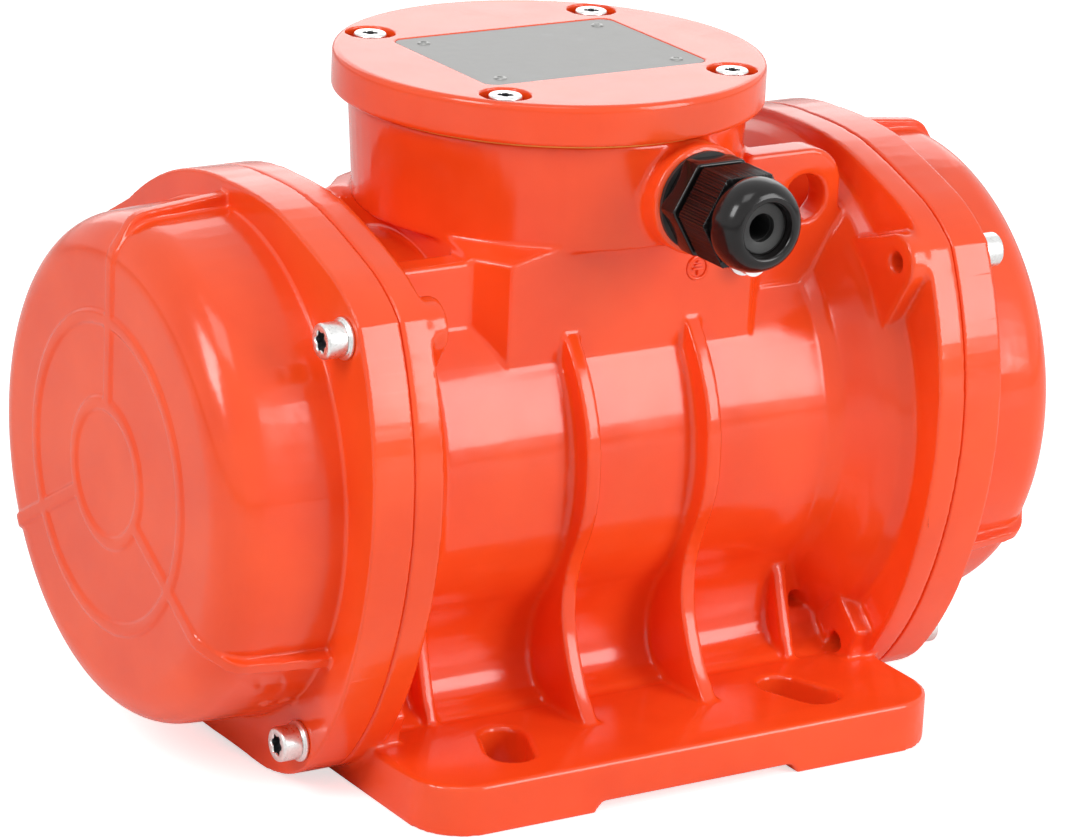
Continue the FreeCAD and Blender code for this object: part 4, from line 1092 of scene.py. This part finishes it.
@dataclass
class Studio:
    """White sweep, soft lamps and the camera."""

    target: Triple = (2.615 * MM, 0.0, 81.36 * MM)
    distance: float = 1.4499
    azimuth: float = -32.44
    height: float = 18.34
    roll: float = 2.72
    lens: float = 164.25
    sensor: float = 36.0
    far: float = 20.0
    fill: float = 0.34
    floor_half: float = 6.0
    floor_drop: float = 0.0002
    floor_tone: float = 0.97
    floor_rough: float = 0.9
    floor_shine: float = 0.1
    floor_lift: float = 0.66
    lamps: tuple[Lamp, ...] = (
        Lamp("overhead", (-0.3, -0.4, 1.3), 0.5, 0.5, 2.4),
        Lamp("left_box", (-1.15, -0.3, 0.95), 0.45, 0.6, 8.5),
        Lamp("back_box", (0.62, 1.2, 0.75), 1.6, 0.9, 5.6),
        Lamp("key_box", (0.75, -1.15, 0.62), 0.62, 0.85, 11.0))

    def camera(self) -> None:
        """Set the camera."""
        swing, lift, lean = (math.radians(angle) for angle in (self.azimuth, self.height, self.roll))
        back = Vector((math.sin(swing) * math.cos(lift), -math.cos(swing) * math.cos(lift), math.sin(lift)))
        side = Vector((math.cos(swing), math.sin(swing), 0.0))
        top = back.cross(side)
        right = side * math.cos(lean) + top * math.sin(lean)
        up = top * math.cos(lean) - side * math.sin(lean)
        data = bpy.data.cameras.new("camera")
        data.lens = self.lens
        data.sensor_width = self.sensor
        data.clip_end = self.far
        view = bpy.data.objects.new("camera", data)
        bpy.context.scene.collection.objects.link(view)
        turn = Matrix((right, up, back)).transposed().to_4x4()
        view.matrix_world = Matrix.Translation(Vector(self.target) + back * self.distance) @ turn
        bpy.context.scene.camera = view

    @staticmethod
    def white_seen(tree: bpy.types.NodeTree, shown: bpy.types.NodeSocket,
                   lit: bpy.types.NodeSocket) -> bpy.types.NodeSocket:
        """Mix a white look for seen and mirrored rays with the plain shader for all others.

        Args:
            tree: Node tree that gets the nodes.
            shown: Shader for seen rays.
            lit: Shader for other rays.

        Returns:
            The mixed shader socket.
        """
        path = tree.nodes.new("ShaderNodeLightPath")
        seen = path.outputs["Is Camera Ray"]
        for ray in ("Is Glossy Ray", "Is Transmission Ray"):
            either = tree.nodes.new("ShaderNodeMath")
            either.operation = "MAXIMUM"
            tree.links.new(seen, either.inputs[0])
            tree.links.new(path.outputs[ray], either.inputs[1])
            seen = either.outputs[0]
        mix = tree.nodes.new("ShaderNodeMixShader")
        tree.links.new(seen, mix.inputs[0])
        tree.links.new(lit, mix.inputs[1])
        tree.links.new(shown, mix.inputs[2])
        return mix.outputs[0]

    def world(self) -> None:
        """Set the world's soft fill and white look."""
        world = bpy.data.worlds.new("studio")
        bpy.context.scene.world = world
        world.use_nodes = True
        tree = world.node_tree
        fill = tree.nodes["Background"]
        seen = tree.nodes.new("ShaderNodeBackground")
        for back, strength in ((fill, self.fill), (seen, 1.0)):
            back.inputs["Color"].default_value = (1.0, 1.0, 1.0, 1.0)
            back.inputs["Strength"].default_value = strength
        output = tree.nodes["World Output"]
        tree.links.new(self.white_seen(tree, seen.outputs[0], fill.outputs[0]), output.inputs["Surface"])

    def floor(self) -> None:
        """Lay the pale floor, lifted to white where it is seen far off."""
        work = bmesh.new()
        bmesh.ops.create_grid(work, x_segments=2, y_segments=2, size=self.floor_half)
        bmesh.ops.translate(work, verts=work.verts, vec=(0.0, 0.0, -self.floor_drop))
        mesh = bpy.data.meshes.new("floor")
        work.to_mesh(mesh)
        work.free()
        floor = bpy.data.objects.new("floor", mesh)
        bpy.context.scene.collection.objects.link(floor)
        material = bpy.data.materials.new("floor")
        material.use_nodes = True
        tree = material.node_tree
        shader = tree.nodes["Principled BSDF"]
        shader.inputs["Base Color"].default_value = (*[self.floor_tone] * 3, 1.0)
        shader.inputs["Roughness"].default_value = self.floor_rough
        shader.inputs["Specular IOR Level"].default_value = self.floor_shine
        path = tree.nodes.new("ShaderNodeLightPath")
        lift = tree.nodes.new("ShaderNodeEmission")
        both = tree.nodes.new("ShaderNodeAddShader")
        tree.links.new(path.outputs["Is Camera Ray"], lift.inputs["Strength"])
        lift.inputs["Color"].default_value = (*[self.floor_lift] * 3, 1.0)
        tree.links.new(shader.outputs[0], both.inputs[0])
        tree.links.new(lift.outputs[0], both.inputs[1])
        tree.links.new(both.outputs[0], tree.nodes["Material Output"].inputs["Surface"])
        mesh.materials.append(material)

    def build(self) -> None:
        """Set up camera, lamps, world and floor."""
        self.camera()
        self.world()
        self.floor()
        for lamp in self.lamps:
            lamp.build()
        bpy.context.scene.view_settings.view_transform = "Standard"


def main() -> None:
    """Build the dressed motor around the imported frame."""
    logging.basicConfig(level=logging.INFO, format="%(name)s: %(message)s")
    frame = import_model()
    Studio().build()
    shop = Workshop(frame, Palette())
    Motor().build(shop)
    LOG.info("%d pieces built", shop.count)


if __name__ == "__main__":
    main()
